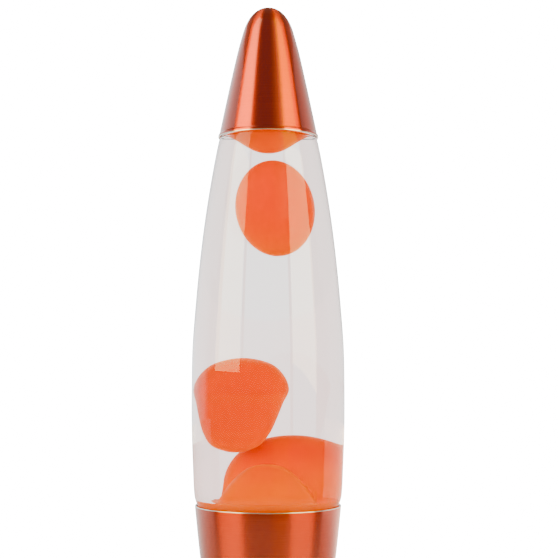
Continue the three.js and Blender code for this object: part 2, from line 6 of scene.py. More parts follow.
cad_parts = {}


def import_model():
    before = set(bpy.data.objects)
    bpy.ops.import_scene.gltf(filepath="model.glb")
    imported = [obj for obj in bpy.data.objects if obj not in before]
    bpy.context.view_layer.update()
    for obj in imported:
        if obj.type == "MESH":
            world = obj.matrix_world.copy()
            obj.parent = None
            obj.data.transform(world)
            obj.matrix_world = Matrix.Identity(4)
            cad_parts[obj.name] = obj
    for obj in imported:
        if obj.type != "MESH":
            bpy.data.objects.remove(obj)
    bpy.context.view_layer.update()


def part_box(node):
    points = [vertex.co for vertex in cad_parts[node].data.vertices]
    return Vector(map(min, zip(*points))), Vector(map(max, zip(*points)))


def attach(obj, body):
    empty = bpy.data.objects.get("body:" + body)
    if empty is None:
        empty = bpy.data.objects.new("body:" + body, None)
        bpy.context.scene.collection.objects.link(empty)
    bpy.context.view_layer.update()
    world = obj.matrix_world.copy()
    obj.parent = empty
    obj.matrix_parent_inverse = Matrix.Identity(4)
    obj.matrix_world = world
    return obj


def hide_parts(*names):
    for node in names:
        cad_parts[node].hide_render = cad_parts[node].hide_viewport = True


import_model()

MM = 0.001
FINE = 160  # segments of the big turned pieces
SMALL = 64  # segments of the small ones
TURN = 2 * math.pi
CREASE = 35  # degrees between two faces past which their edge is left crisp


# ---- Shapes: outlines are lists of (radius, height) in millimetres ----


def bezier(a, b, c, d, steps):
    """Points of a cubic curve from a to d, pulled towards b and c."""
    points = []
    for i in range(steps + 1):
        t = i / steps
        u = 1 - t
        weights = (u**3, 3 * u * u * t, 3 * u * t * t, t**3)
        points.append(tuple(sum(w * p[k] for w, p in zip(weights, (a, b, c, d))) for k in (0, 1)))
    return points


def spline(knots, steps, on_axis=False):
    """A smooth curve through the knots. on_axis makes it cross the axis squarely at both its ends."""
    if on_axis:
        before, after = (-knots[1][0], knots[1][1]), (-knots[-2][0], knots[-2][1])
    else:
        before, after = knots[0], knots[-1]
    held = [before, *knots, after]
    points = []
    for p0, p1, p2, p3 in zip(held, held[1:], held[2:], held[3:]):
        for i in range(steps):
            t = i / steps
            points.append(tuple(catmull_rom(t, p0[k], p1[k], p2[k], p3[k]) for k in (0, 1)))
    return [*points, knots[-1]]


def catmull_rom(t, p0, p1, p2, p3):
    v0, v1 = (p2 - p0) / 2, (p3 - p1) / 2
    return (2 * p1 - 2 * p2 + v0 + v1) * t**3 + (3 * p2 - 3 * p1 - 2 * v0 - v1) * t**2 + v0 * t + p1


def offset(points, distance):
    """The outline moved sideways by a distance, to the left of its direction."""
    moved = []
    for i, point in enumerate(points):
        before, after = Vector(points[max(i - 1, 0)]), Vector(points[min(i + 1, len(points) - 1)])
        along = (after - before).normalized()
        moved.append((point[0] - along.y * distance, point[1] + along.x * distance))
    return moved


def rounded(corners, steps=5):
    """An outline from (radius, height, round) corners, each turned into a round of that size."""
    outline = []
    for i, (r, z, size) in enumerate(corners):
        here = Vector((r, z))
        if size == 0:
            outline.append((r, z))
            continue
        before, after = Vector(corners[i - 1][:2]), Vector(corners[(i + 1) % len(corners)][:2])
        to_before, to_after = before - here, after - here
        reach = min(size, 0.49 * to_before.length, 0.49 * to_after.length)
        start, end = here + to_before.normalized() * reach, here + to_after.normalized() * reach
        for k in range(steps + 1):
            t = k / steps
            outline.append(tuple(start * (1 - t) ** 2 + here * 2 * t * (1 - t) + end * t**2))
    return outline


def radius_at(points, z):
    """The radius of a rising outline at a height."""
    for a, b in zip(points, points[1:]):
        if a[1] <= z <= b[1]:
            return a[0] + (b[0] - a[0]) * (z - a[1]) / max(b[1] - a[1], 1e-6)
    return points[0][0] if z < points[0][1] else points[-1][0]


# ---- Meshes ----


def placed(name, data):
    obj = bpy.data.objects.new(name, data)
    bpy.context.scene.collection.objects.link(obj)
    return obj


def piece(name, vertices, faces, sharp=CREASE):
    """A smooth-shaded mesh object with crisp edges past an angle in degrees."""
    mesh = bpy.data.meshes.new(name)
    mesh.from_pydata(vertices, [], faces)
    mesh.validate()
    mesh.polygons.foreach_set("use_smooth", [True] * len(mesh.polygons))
    mesh.set_sharp_from_angle(angle=math.radians(sharp))
    return placed(name, mesh)


def turned(name, outline, segments=SMALL, closed=False, sharp=CREASE, lean=None):
    """A body turned about +Z, with its material to the left of the outline.

    outline is a list of points, or a function that gives one for an angle. lean gives a shift along X, in
    millimetres, for a height. closed joins the outline's last point to its first.
    """
    outline_at = outline if callable(outline) else lambda angle: outline
    angles = [TURN * i / segments for i in range(segments)]
    profiles = [outline_at(angle) for angle in angles]
    vertices, rings = [], []
    for k in range(len(profiles[0])):
        on_axis = all(abs(profile[k][0]) < 1e-6 for profile in profiles)
        sides = 1 if on_axis else segments
        rings.append([len(vertices) + i for i in range(sides)])
        for i in range(sides):
            r, z = profiles[i][k]
            x = r * math.cos(angles[i]) + (lean(z) if lean else 0)
            vertices.append((x * MM, r * math.sin(angles[i]) * MM, z * MM))
    pairs = list(zip(rings, rings[1:])) + ([(rings[-1], rings[0])] if closed else [])
    faces = []
    for low, high in pairs:
        for i in range(segments):
            j = (i + 1) % segments
            if len(low) > 1 and len(high) > 1:
                faces.append((low[i], low[j], high[j], high[i]))
            elif len(high) > 1:
                faces.append((low[0], high[j], high[i]))
            elif len(low) > 1:
                faces.append((low[i], low[j], high[0]))
    return piece(name, vertices, faces, sharp)


def tube(name, path, radius, sides=10):
    """A round wire along a path of places in millimetres, with flat ends."""
    places = [Vector(place) for place in path]
    vertices, across = [], Vector((0, 0, 1))
    for i, place in enumerate(places):
        along = (places[min(i + 1, len(places) - 1)] - places[max(i - 1, 0)]).normalized()
        if abs(along.dot(across)) > 0.9:
            across = along.orthogonal()
        across = (across - along * along.dot(across)).normalized()
        beside = along.cross(across)
        for k in range(sides):
            angle = TURN * k / sides
            ring = across * math.cos(angle) + beside * math.sin(angle)
            vertices.append((place + ring * radius) * MM)
    faces = [tuple(reversed(range(sides))), tuple(range(len(vertices) - sides, len(vertices)))]
    for i in range(len(places) - 1):
        for k in range(sides):
            j = (k + 1) % sides
            low, high = i * sides, (i + 1) * sides
            faces.append((low + k, low + j, high + j, high + k))
    return piece(name, vertices, faces, sharp=50)


def finished_mesh(obj):
    """The object's mesh with its curve filled in, or its modifiers applied."""
    return bpy.data.meshes.new_from_object(obj.evaluated_get(bpy.context.evaluated_depsgraph_get()))


def sheet(name, loops, thickness, edge):
    """A flat sheet on z = 0 with its outline first and its holes after it, and softened edges."""
    curve = bpy.data.curves.new(name, "CURVE")
    curve.dimensions = "2D"
    curve.fill_mode = "BOTH"
    curve.extrude = (thickness / 2 - edge) * MM
    curve.bevel_depth = edge * MM
    curve.bevel_resolution = 2
    curve.offset = -edge * MM
    for loop in loops:
        line = curve.splines.new("POLY")
        line.points.add(len(loop) - 1)
        for point, (x, y) in zip(line.points, loop):
            point.co = (x * MM, y * MM, 0, 1)
        line.use_cyclic_u = True
    drawn = placed(name + "_outline", curve)
    made = finished_mesh(drawn)
    bpy.data.objects.remove(drawn)
    made.transform(Matrix.Translation((0, 0, thickness / 2 * MM)))
    made.polygons.foreach_set("use_smooth", [True] * len(made.polygons))
    made.set_sharp_from_angle(angle=math.radians(CREASE))
    return placed(name, made)


def circle(x, y, radius, sides=32):
    angles = [TURN * i / sides for i in range(sides)]
    return [(x + radius * math.cos(a), y + radius * math.sin(a)) for a in angles]


def rod(radius, low, high, segments=32):
    """A round cutter along Z."""
    return turned("cutter", [(0, low), (radius, low), (radius, high), (0, high)], segments)


def wedge(half_x, half_y, wide_z, narrow_z, share=1.0):
    """A block-shaped cutter between two heights, with its second end at a share of the first one's size."""
    order = [(-1, -1), (1, -1), (1, 1), (-1, 1)]
    vertices = []
    for z, size in ((wide_z, 1), (narrow_z, share)):
        vertices += [(x * half_x * size * MM, y * half_y * size * MM, z * MM) for x, y in order]
    sides = [(0, 1, 5, 4), (1, 2, 6, 5), (2, 3, 7, 6), (3, 0, 4, 7)]
    return piece("cutter", vertices, [(0, 3, 2, 1), (4, 5, 6, 7), *sides])


def moved(obj, x=0, y=0, z=0, turn=None):
    """The piece's mesh turned by a rotation and moved by millimetres."""
    obj.data.transform(Matrix.Translation((x * MM, y * MM, z * MM)) @ (turn or Matrix.Identity(4)))
    return obj


def cut(body, *cutters, sharp=CREASE):
    """The body with each of the cutters taken away from it."""
    for cutter in cutters:
        modifier = body.modifiers.new("cut", "BOOLEAN")
        modifier.object = cutter
        modifier.operation = "DIFFERENCE"
        modifier.solver = "EXACT"
    made = finished_mesh(body)
    body.modifiers.clear()
    body.data = made
    for cutter in cutters:
        bpy.data.objects.remove(cutter)
    made.set_sharp_from_angle(angle=math.radians(sharp))
    return body


def stands_for(obj, node, body, material):
    """The piece takes a CAD node's place on a body. Without a material it keeps those it has."""
    if material:
        obj.data.materials.clear()
        obj.data.materials.append(material)
    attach(obj, body)
    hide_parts(node)


def small_part(obj, node, body, slot):
    """The same, with the small parts' finish that is named after the slot."""
    stands_for(obj, node, body, finishes[slot])


# ---- The photograph's camera: metres from the lamp's axis, and a lens and sensor in millimetres ----

CAMERA_DISTANCE = 0.6393
CAMERA_HEIGHT = 0.2154
CAMERA_RIGHT = 0.00545
CAMERA_TILT = math.radians(3.976)
CAMERA_LENS, CAMERA_SENSOR = 81.87, 36
CAMERA_NEAREST = 0.01


def camera():
    data = bpy.data.cameras.new("camera")
    data.lens = CAMERA_LENS
    data.sensor_width = CAMERA_SENSOR
    data.clip_start = CAMERA_NEAREST
    obj = placed("camera", data)
    obj.location = (CAMERA_RIGHT, -CAMERA_DISTANCE, CAMERA_HEIGHT)
    obj.rotation_euler = (math.pi / 2 + CAMERA_TILT, 0, 0)
    bpy.context.scene.camera = obj


# ---- Studio: radiances, metres, and azimuths in degrees round the lamp with 0 on the camera's side ----

BACKGROUND = 9.0  # what the camera sees behind the lamp
ROOM_MIRRORED = (0.33, 0.28, 0.21)  # the unlit room that the metal and the glass reflect
ROOM_THROUGH = 1.9  # the same, for light that has passed the glass
FILL = 0.55  # the same, for the light that falls on rough surfaces
WARM, YELLOW, NEUTRAL = (1, 0.73, 0.36), (0.97, 1, 0.08), (1, 1, 0.66)
SOFTBOX_DISTANCE = 0.6

# Each softbox: its azimuth, the half angle it fills, its lower and upper edge, radiance, colour and roll.
SOFTBOXES = {
    "softbox_left_low": (-62, 21, 0.22, 0.64, 6.8, WARM, 0),
    "softbox_left_high": (-63, 19, 0.64, 1.5, 2.9, NEUTRAL, 0),
    "softbox_right_low": (57, 20, 0.215, 0.64, 6.8, WARM, -6),
    "softbox_right_high": (55, 18, 0.64, 1.5, 2.0, YELLOW, -2),
}

# The white room behind the lamp in bands between two heights. Its left and right edges decide how far
# the white reaches round the metal and the glass.
MIRROR_DISTANCE = 1.3
BAND_LOW, BAND_MIDDLE, BAND_HIGH = (-0.5, 0.12), (0.12, 0.5), (0.5, 1.1)
WHITE_RIGHT, WHITE_LEFT = (0.84, 0.90, 0.86), (1.15, 1.40, 1.44)
BACKDROPS_MIRRORED = {
    "backdrop_mirrored_right_low": ((93, 180), BAND_LOW, (1.95, 1.42, 1.15)),
    "backdrop_mirrored_right": ((103, 180), BAND_MIDDLE, WHITE_RIGHT),
    "backdrop_mirrored_right_high": ((91, 180), BAND_HIGH, WHITE_RIGHT),
    "backdrop_mirrored_left_low": ((180, 267), BAND_LOW, (1.05, 1.05, 0.98)),
    "backdrop_mirrored_left": ((180, 252), BAND_MIDDLE, WHITE_LEFT),
    "backdrop_mirrored_left_high": ((180, 269), BAND_HIGH, WHITE_LEFT),
}
FADE_LEVELS, FADE_STEP = (0.75, 0.5, 0.25), 4  # the middle band's fade past its edges, and a step's width

# Cards on the camera's side: azimuths, distance, heights and colour.
OVER_CAMERA = (0.7, 2.4)
CARDS = {
    "warm_card": ((7, 31), 0.95, (-0.3, 0.5), (0.5, 0.3, 0.02)),
    "front_card": ((-25, 24), 1.0, (-0.3, 0.26), (0.22, 0.18, 0.10)),
    "front_card_high": ((-40, 13), 1.0, OVER_CAMERA, (0.34, 0.27, 0.29)),
}
SPILL_FROM, SPILL_STEP, SPILL_DISTANCE = 13, 8, 1.1
SPILL_LEVELS, SPILL_GREEN, SPILL_BLUE = (0.45, 0.75, 1.1), 0.9, 0.6

# The white room seen through the glass, in bands up to a height: each band's middle, and its sides.
BACKDROP_THROUGH = [
    (0.13, (1.66, 1.42, 1.39), (1.60, 1.30, 1.26)), (0.22, (1.64, 1.47, 1.45), (1.54, 1.28, 1.24)),
    (2.0, (1.60, 1.54, 1.53), (1.45, 1.24, 1.20)),
]
THROUGH_BOTTOM = -1.2
THROUGH_STRIPS, STRIP_DISTANCE = [(172.5, 187.5), (161.5, 171.5), (188.5, 198.5)], 1.2
THROUGH_SIDES, SIDES_DISTANCE = (96, 264), 1.3


def level_by_ray(tree, plain, levels):
    """A colour that starts plain and is replaced for each kind of ray that levels names, in order."""
    rays = tree.nodes.new("ShaderNodeLightPath")
    colour = tree.nodes.new("ShaderNodeRGB")
    colour.outputs[0].default_value = (*plain, 1)
    source = colour.outputs[0]
    for ray, level in levels:
        mix = tree.nodes.new("ShaderNodeMix")
        mix.data_type = "RGBA"
        tree.links.new(rays.outputs[ray], mix.inputs[0])
        tree.links.new(source, mix.inputs[6])
        mix.inputs[7].default_value = (*level, 1)
        source = mix.outputs[2]
    return source


def world():
    """A white surround behind the lamp, and a dim room for the light that reaches it."""
    surround = bpy.data.worlds.new("studio")
    surround.use_nodes = True
    bpy.context.scene.world = surround
    tree = surround.node_tree
    levels = [
        ("Is Glossy Ray", ROOM_MIRRORED),
        ("Is Transmission Ray", (ROOM_THROUGH,) * 3),
        ("Is Camera Ray", (BACKGROUND,) * 3),
    ]
    tree.links.new(level_by_ray(tree, (FILL,) * 3, levels), tree.nodes["Background"].inputs["Color"])


def around(azimuth, distance):
    """The place on the floor at an azimuth and a distance from the lamp's axis."""
    angle = math.radians(azimuth)
    return Vector((math.sin(angle) * distance, -math.cos(angle) * distance, 0))


def softbox(name, azimuth, half_angle, low, high, radiance, colour, roll):
    """A softbox beside the camera, aimed at the lamp's axis, between two heights."""
    width, height = 2 * SOFTBOX_DISTANCE * math.tan(math.radians(half_angle)), high - low
    data = bpy.data.lights.new(name, "AREA")
    data.shape = "RECTANGLE"
    data.size, data.size_y = width, height
    data.energy = radiance * math.pi * width * height
    data.color = colour
    obj = placed(name, data)
    place = around(azimuth, SOFTBOX_DISTANCE)
    obj.location = place + Vector((0, 0, (low + high) / 2))
    facing = (-place).to_track_quat("-Z", "Y")
    obj.rotation_euler = (facing @ Euler((0, 0, math.radians(roll))).to_quaternion()).to_euler()
    obj.visible_camera = False


def emitter(name, colour):
    """A material that only gives light."""
    material = bpy.data.materials.new(name)
    material.use_nodes = True
    tree = material.node_tree
    tree.nodes.remove(tree.nodes["Principled BSDF"])
    light = tree.nodes.new("ShaderNodeEmission")
    light.inputs["Color"].default_value = (*colour, 1)
    tree.links.new(light.outputs[0], tree.nodes["Material Output"].inputs["Surface"])
    return material


def screen(name, azimuths, distance, heights, colour, seen_by="glossy"):
    """A curved screen round the lamp that only one kind of ray sees."""
    start, end = azimuths
    steps = max(1, round((end - start) / 4))
    vertices = []
    for i in range(steps + 1):
        place = around(start + (end - start) * i / steps, distance)
        vertices += [(place.x, place.y, z) for z in heights]
    faces = [(2 * i, 2 * i + 1, 2 * i + 3, 2 * i + 2) for i in range(steps)]
    obj = piece(name, vertices, faces)
    obj.data.materials.append(emitter(name, colour))
    for ray in ("camera", "diffuse", "glossy", "transmission", "shadow", "volume_scatter"):
        setattr(obj, "visible_" + ray, ray == seen_by)


def screens():
    for name, (azimuths, heights, colour) in BACKDROPS_MIRRORED.items():
        screen(name, azimuths, MIRROR_DISTANCE, heights, colour)
    # Towards the lamp's sides the backdrop fades in the glass.
    left = BACKDROPS_MIRRORED["backdrop_mirrored_left"][0][1]
    right = BACKDROPS_MIRRORED["backdrop_mirrored_right"][0][0]
    for i, level in enumerate(FADE_LEVELS):
        near, far = FADE_STEP * i, FADE_STEP * (i + 1)
        for side, edges, white in (
            ("left", (left + near, left + far), WHITE_LEFT),
            ("right", (right - far, right - near), WHITE_RIGHT),
        ):
            fading = tuple(part * level for part in white)
            screen(f"backdrop_faded_{side}_{i + 1}", edges, MIRROR_DISTANCE, BAND_MIDDLE, fading)
    for name, card in CARDS.items():
        screen(name, *card)
    # The warm light falls off towards the lamp's front.
    for i, level in enumerate(SPILL_LEVELS):
        edges = (SPILL_FROM + SPILL_STEP * i, SPILL_FROM + SPILL_STEP * (i + 1))
        colour = (level, level * SPILL_GREEN, level * SPILL_BLUE)
        screen(f"warm_spill_{i + 1}", edges, SPILL_DISTANCE, OVER_CAMERA, colour)
    low = THROUGH_BOTTOM
    for i, (high, middle, sides) in enumerate(BACKDROP_THROUGH):
        for k, strip in enumerate(THROUGH_STRIPS):
            name = f"backdrop_middle_{i + 1}_{k + 1}"
            screen(name, strip, STRIP_DISTANCE, (low, high), middle, "transmission")
        name = f"backdrop_sides_{i + 1}"
        screen(name, THROUGH_SIDES, SIDES_DISTANCE, (low, high), sides, "transmission")
        low = high


FLOOR_RADIUS, FLOOR_PLAIN = 750, 420  # its rim, and where it starts to thin out towards it
FLOOR_MIRRORED = (0.62, 0.72, 0.74)  # its colour for light that the lamp reflects
FLOOR_THROUGH = (1.6, 1.5, 1.4)  # its glow for light that has passed the glass


def floor():
    rings = 24
    outline = [(FLOOR_RADIUS * i / rings, 0) for i in range(rings, -1, -1)]
    disc = turned("floor", outline, 96)
    material, shader = finish("floor", Roughness=0.6)
    speckle = grain(material, 900, detail=3)
    pale = blend_colours(material, speckle, (0.80, 0.79, 0.78), (0.86, 0.85, 0.84))
    nodes, links = graph(material)
    mirrored_light = nodes.new("ShaderNodeLightPath").outputs["Is Glossy Ray"]
    to_shader(material, blend_colours(material, mirrored_light, pale, FLOOR_MIRRORED), "Base Color")
    passed_light = nodes.new("ShaderNodeLightPath").outputs["Is Transmission Ray"]
    to_shader(material, passed_light, "Emission Strength")
    shader.inputs["Emission Color"].default_value = (*FLOOR_THROUGH, 1)
    # The disc thins out towards its rim, into the white surround.
    where = nodes.new("ShaderNodeTexCoord")
    length = nodes.new("ShaderNodeVectorMath")
    length.operation = "LENGTH"
    links.new(where.outputs["Object"], length.inputs[0])
    cover = spread(material, length.outputs["Value"], FLOOR_PLAIN * MM, FLOOR_RADIUS * MM, 1, 0)
    to_shader(material, cover, "Alpha")
    disc.data.materials.append(material)


# ---- Finishes ----


def graph(material):
    return material.node_tree.nodes, material.node_tree.links


def finish(name, **sockets):
    """A new material and its Principled shader, with the plain sockets set: Coat_Weight is Coat Weight."""
    material = bpy.data.materials.new(name)
    material.use_nodes = True
    shader = material.node_tree.nodes["Principled BSDF"]
    for socket, value in sockets.items():
        shader.inputs[socket.replace("_", " ")].default_value = value
    return material, shader


def grain(material, scale, stretch=(1, 1, 1), detail=2.0, rough=0.5):
    """Noise in the piece's own coordinates, in cycles per metre, stretched along its axes."""
    nodes, links = graph(material)
    where = nodes.new("ShaderNodeTexCoord")
    mapping = nodes.new("ShaderNodeMapping")
    mapping.inputs["Scale"].default_value = stretch
    noise = nodes.new("ShaderNodeTexNoise")
    noise.inputs["Scale"].default_value = scale
    noise.inputs["Detail"].default_value = detail
    noise.inputs["Roughness"].default_value = rough
    links.new(where.outputs["Object"], mapping.inputs["Vector"])
    links.new(mapping.outputs["Vector"], noise.inputs["Vector"])
    return noise.outputs["Fac"]


def spread(material, source, low, high, to_low, to_high, smooth=False):
    """The source's stretch from low to high, mapped onto another and held at its ends."""
    nodes, links = graph(material)
    node = nodes.new("ShaderNodeMapRange")
    node.interpolation_type = "SMOOTHSTEP" if smooth else "LINEAR"
    links.new(source, node.inputs["Value"])
    for socket, value in zip(("From Min", "From Max", "To Min", "To Max"), (low, high, to_low, to_high)):
        node.inputs[socket].default_value = value
    return node.outputs["Result"]


def blend_colours(material, factor, low, high):
    """A colour that goes from low to high with the factor. Either may be a colour or a socket."""
    nodes, links = graph(material)
    mix = nodes.new("ShaderNodeMix")
    mix.data_type = "RGBA"
    links.new(factor, mix.inputs[0])
    for socket, value in ((mix.inputs[6], low), (mix.inputs[7], high)):
        if isinstance(value, tuple):
            socket.default_value = (*value, 1)
        else:
            links.new(value, socket)
    return mix.outputs[2]


def to_shader(material, source, socket):
    shader = material.node_tree.nodes["Principled BSDF"]
    material.node_tree.links.new(source, shader.inputs[socket])


def tint(material, factor, low, high):
    to_shader(material, blend_colours(material, factor, low, high), "Base Color")


def uneven(material, factor, low, high):
    """Roughness that varies with the factor."""
    to_shader(material, spread(material, factor, 0.3, 0.7, low, high), "Roughness")


def bumps(material, factor, height, socket="Normal"):
    """Relief of a height in metres."""
    nodes, links = graph(material)
    bump = nodes.new("ShaderNodeBump")
    bump.inputs["Strength"].default_value = 1
    bump.inputs["Distance"].default_value = height
    links.new(factor, bump.inputs["Height"])
    to_shader(material, bump.outputs["Normal"], socket)


def height_of(material):
    """The height over the floor at rest, as a socket."""
    nodes, links = graph(material)
    where = nodes.new("ShaderNodeTexCoord")
    split = nodes.new("ShaderNodeSeparateXYZ")
    links.new(where.outputs["Object"], split.inputs["Vector"])
    return split.outputs["Z"]


def turned_metal(material, shader, along=1.0):
    """Highlights drawn out along the piece's axis, as fine turning marks round it make them."""
    tangent = material.node_tree.nodes.new("ShaderNodeTangent")
    tangent.direction_type = "RADIAL"
    tangent.axis = "Z"
    shader.inputs["Anisotropic"].default_value = along
    shader.inputs["Anisotropic Rotation"].default_value = 0.25
    material.node_tree.links.new(tangent.outputs["Tangent"], shader.inputs["Tangent"])


COPPER_DYE = (0.55, 0.068, 0.034), (0.63, 0.090, 0.044)
BARE_ALUMINIUM = (0.86, 0.77, 0.66)


def copper_anodised(name, rim_z, rim_side):
    """Brushed aluminium anodised copper orange, bare on the edge that was cut last.

    The edge is at a height in millimetres, and lies over the dyed part (rim_side 1) or under it (-1).
    """
    material, shader = finish(name, Metallic=1, Coat_Weight=1, Coat_Roughness=0.09, Coat_IOR=1.5)
    lines = grain(material, 60, (1, 1, 90), detail=5, rough=0.7)
    clouds = grain(material, 35, (1, 1, 0.5), detail=2)
    dye = blend_colours(material, spread(material, lines, 0.3, 0.7, 0, 1), *COPPER_DYE)
    edge = spread(material, height_of(material), (rim_z - 0.02) * MM, (rim_z + 0.02) * MM, 0, 1)
    low, high = (dye, BARE_ALUMINIUM) if rim_side > 0 else (BARE_ALUMINIUM, dye)
    tint(material, edge, low, high)
    uneven(material, clouds, 0.30, 0.36)
    bumps(material, lines, 0.012 * MM)
    turned_metal(material, shader)
    return material


def worked(name, low, high, rough, scale, relief, stretch=(1, 1, 1), **sockets):
    """A finish whose colour, gloss and relief vary with marks, at a scale in cycles per metre."""
    material, _ = finish(name, **sockets)
    marks = grain(material, scale, stretch, detail=5, rough=0.65)
    clouds = grain(material, scale / 10, detail=2)
    tint(material, spread(material, clouds, 0.35, 0.65, 0, 1), low, high)
    uneven(material, marks, *rough)
    bumps(material, marks, relief * MM)
    return material


METAL = {"Metallic": 1}
SEE_THROUGH = {"Transmission_Weight": 1}
EVEN = (1, 1, 1)

# The small parts' finishes by the record's slot: darker and lighter colour, least and most roughness,
# marks in cycles per metre, relief in millimetres, the marks' stretch, and plain sockets.
SMALL_FINISHES = {
    "zinc_steel": ((0.60, 0.62, 0.64), (0.70, 0.72, 0.74), (0.26, 0.38), 240, 0.003, (1, 9, 1), METAL),
    "black_rubber": ((0.016, 0.016, 0.017), (0.032, 0.031, 0.030), (0.55, 0.8), 900, 0.02, EVEN, {}),
    "glazed_ceramic": ((0.80, 0.78, 0.72), (0.88, 0.86, 0.81), (0.08, 0.18), 140, 0.02, EVEN, {}),
    "plain_brass": ((0.72, 0.50, 0.19), (0.86, 0.65, 0.30), (0.2, 0.36), 500, 0.006, EVEN, METAL),
    "cap_aluminium": ((0.70, 0.70, 0.70), (0.84, 0.84, 0.83), (0.28, 0.42), 300, 0.006, (1, 1, 9), METAL),
    "black_glass": ((0.008, 0.007, 0.012), (0.020, 0.018, 0.026), (0.08, 0.2), 300, 0.01, EVEN, {}),
    "solder": ((0.52, 0.52, 0.54), (0.68, 0.68, 0.68), (0.34, 0.5), 600, 0.04, EVEN, METAL),
    "stem_glass": ((0.93, 0.95, 0.94), (0.98, 0.99, 0.98), (0.01, 0.05), 200, 0.02, EVEN, SEE_THROUGH),
    "lead_wire": ((0.62, 0.50, 0.42), (0.74, 0.66, 0.58), (0.24, 0.36), 900, 0.01, EVEN, METAL),
    "tungsten": ((0.16, 0.16, 0.17), (0.28, 0.28, 0.29), (0.35, 0.5), 1500, 0.01, EVEN, METAL),
    "crown_steel": ((0.70, 0.70, 0.69), (0.84, 0.84, 0.82), (0.16, 0.3), 160, 0.01, EVEN, METAL),
    "liner_plastic": ((0.62, 0.69, 0.65), (0.74, 0.80, 0.76), (0.35, 0.5), 400, 0.01, EVEN, {}),
    "coil_steel": ((0.54, 0.52, 0.50), (0.66, 0.64, 0.61), (0.2, 0.34), 900, 0.008, EVEN, METAL),
}


def small_finishes():
    return {slot: worked(slot, *look, **sockets) for slot, (*look, sockets) in SMALL_FINISHES.items()}


GLASS_IOR, LIQUID_IOR = 1.5, 1.34


def clear(name, ior):
    """Glass or liquid against what it meets, given as the ratio of their indices."""
    material, _ = finish(name, Transmission_Weight=1, Roughness=0, IOR=ior)
    tint(material, grain(material, 18, (1, 1, 0.4), detail=1), (0.990, 0.984, 0.981), (0.997, 0.994, 0.992))
    return material


WAX_DEEP, WAX_LIGHT = (0.62, 0.041, 0.0005), (0.66, 0.051, 0.001)
WAX_PAINTED_UNDERLIGHT = (0.74, 0.098, 0.001)  # painted light from the bulb below, where the surface faces down
WAX_PAINTED_LOW_LIGHT, WAX_PAINTED_LIGHT_FROM, WAX_PAINTED_LIGHT_TO = (0.80, 0.140, 0.001), 0.148, 0.176  # painted light from the bulb below, just over the base's rim, in metres
# The first colour is a painted glow: the wax gives off light though it is no lamp.
WAX_PAINTED_GLOW, WAX_SHEEN = (1, 0.075, 0, 1), (1, 0.42, 0.03, 1)


def orange_wax():
    """Wax that is yellower low down and underneath: painted light, as from the bulb below.

    A weak painted glow, light that the wax gives off though it is no lamp, and a sheen stand for its
    translucency.
    """
    # Painted glow: the wax gives off a little light of its own.
    glow = {"Emission_Strength": 0.14, "Emission_Color": WAX_PAINTED_GLOW}
    sheen = {"Sheen_Weight": 0.4, "Sheen_Roughness": 0.5, "Sheen_Tint": WAX_SHEEN}
    material, _ = finish("orange_wax", Roughness=0.35, IOR=1.1, **glow, **sheen)
    nodes, links = graph(material)
    depth = spread(material, grain(material, 30, detail=2), 0.35, 0.65, 0, 1)
    body = blend_colours(material, depth, WAX_DEEP, WAX_LIGHT)
    split = nodes.new("ShaderNodeSeparateXYZ")
    links.new(nodes.new("ShaderNodeNewGeometry").outputs["Normal"], split.inputs["Vector"])
    # Painted light from below: where the surface faces down the wax is made yellower.
    under = spread(material, split.outputs["Z"], -0.85, -0.1, 0.9, 0, smooth=True)
    body = blend_colours(material, under, body, WAX_PAINTED_UNDERLIGHT)
    # Painted light from the bulb: just over the base's rim the wax is made yellower.
    low = spread(material, height_of(material), WAX_PAINTED_LIGHT_FROM, WAX_PAINTED_LIGHT_TO, 1, 0, smooth=True)
    tint(material, low, body, WAX_PAINTED_LOW_LIGHT)
    bumps(material, grain(material, 120, detail=2), 0.01 * MM)
    return material


# ---- Base: from here on, all sizes are in millimetres ----

RIM_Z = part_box("base_shell")[1].z / MM
RIM_R = 36.5
RIM_INNER_R = RIM_R - 0.6
WAIST_R, WAIST_Z = 27.8, 64
FOOT_R, FOOT_BAND_TOP = 55, 18
SHELL_WALL = 1
FLANGE_Z, FLANGE_INNER_R = 4.3, 46
SCREW_HOLE_R, SCREW_SHANK_R, SCREW_HEAD_R, SCREW_HEAD_HIGH = 1.8, 1.5, 2.9, 1.7
SCREW_SEAT = 0.3  # the gap between a head's bearing face and the sheet it holds
PLATE_BOTTOM, PLATE_TOP, PLATE_R = 3.0, 4.0, 51.6
PLATE_SCREW_RING_R = 48.4
FOOT_RING_R = 41.5
BRACKET_SCREW_X, BRACKET_WIDTH = 19, 16
BRACKET_TOP = PLATE_TOP + 1.3
GROMMET_Z, GROMMET_NECK_R, GROMMET_FLANGE_R, GROMMET_BORE_R = 11.4, 3.9, 4.9, 2.95
ALONG_Y = Matrix.Rotation(-math.pi / 2, 4, "X")  # turns +Z onto +Y


def on_ring(radius, angle):
    return radius * math.cos(angle), radius * math.sin(angle)


PLATE_SCREWS = [on_ring(PLATE_SCREW_RING_R, math.radians(angle)) for angle in (-90, 30, 150)]


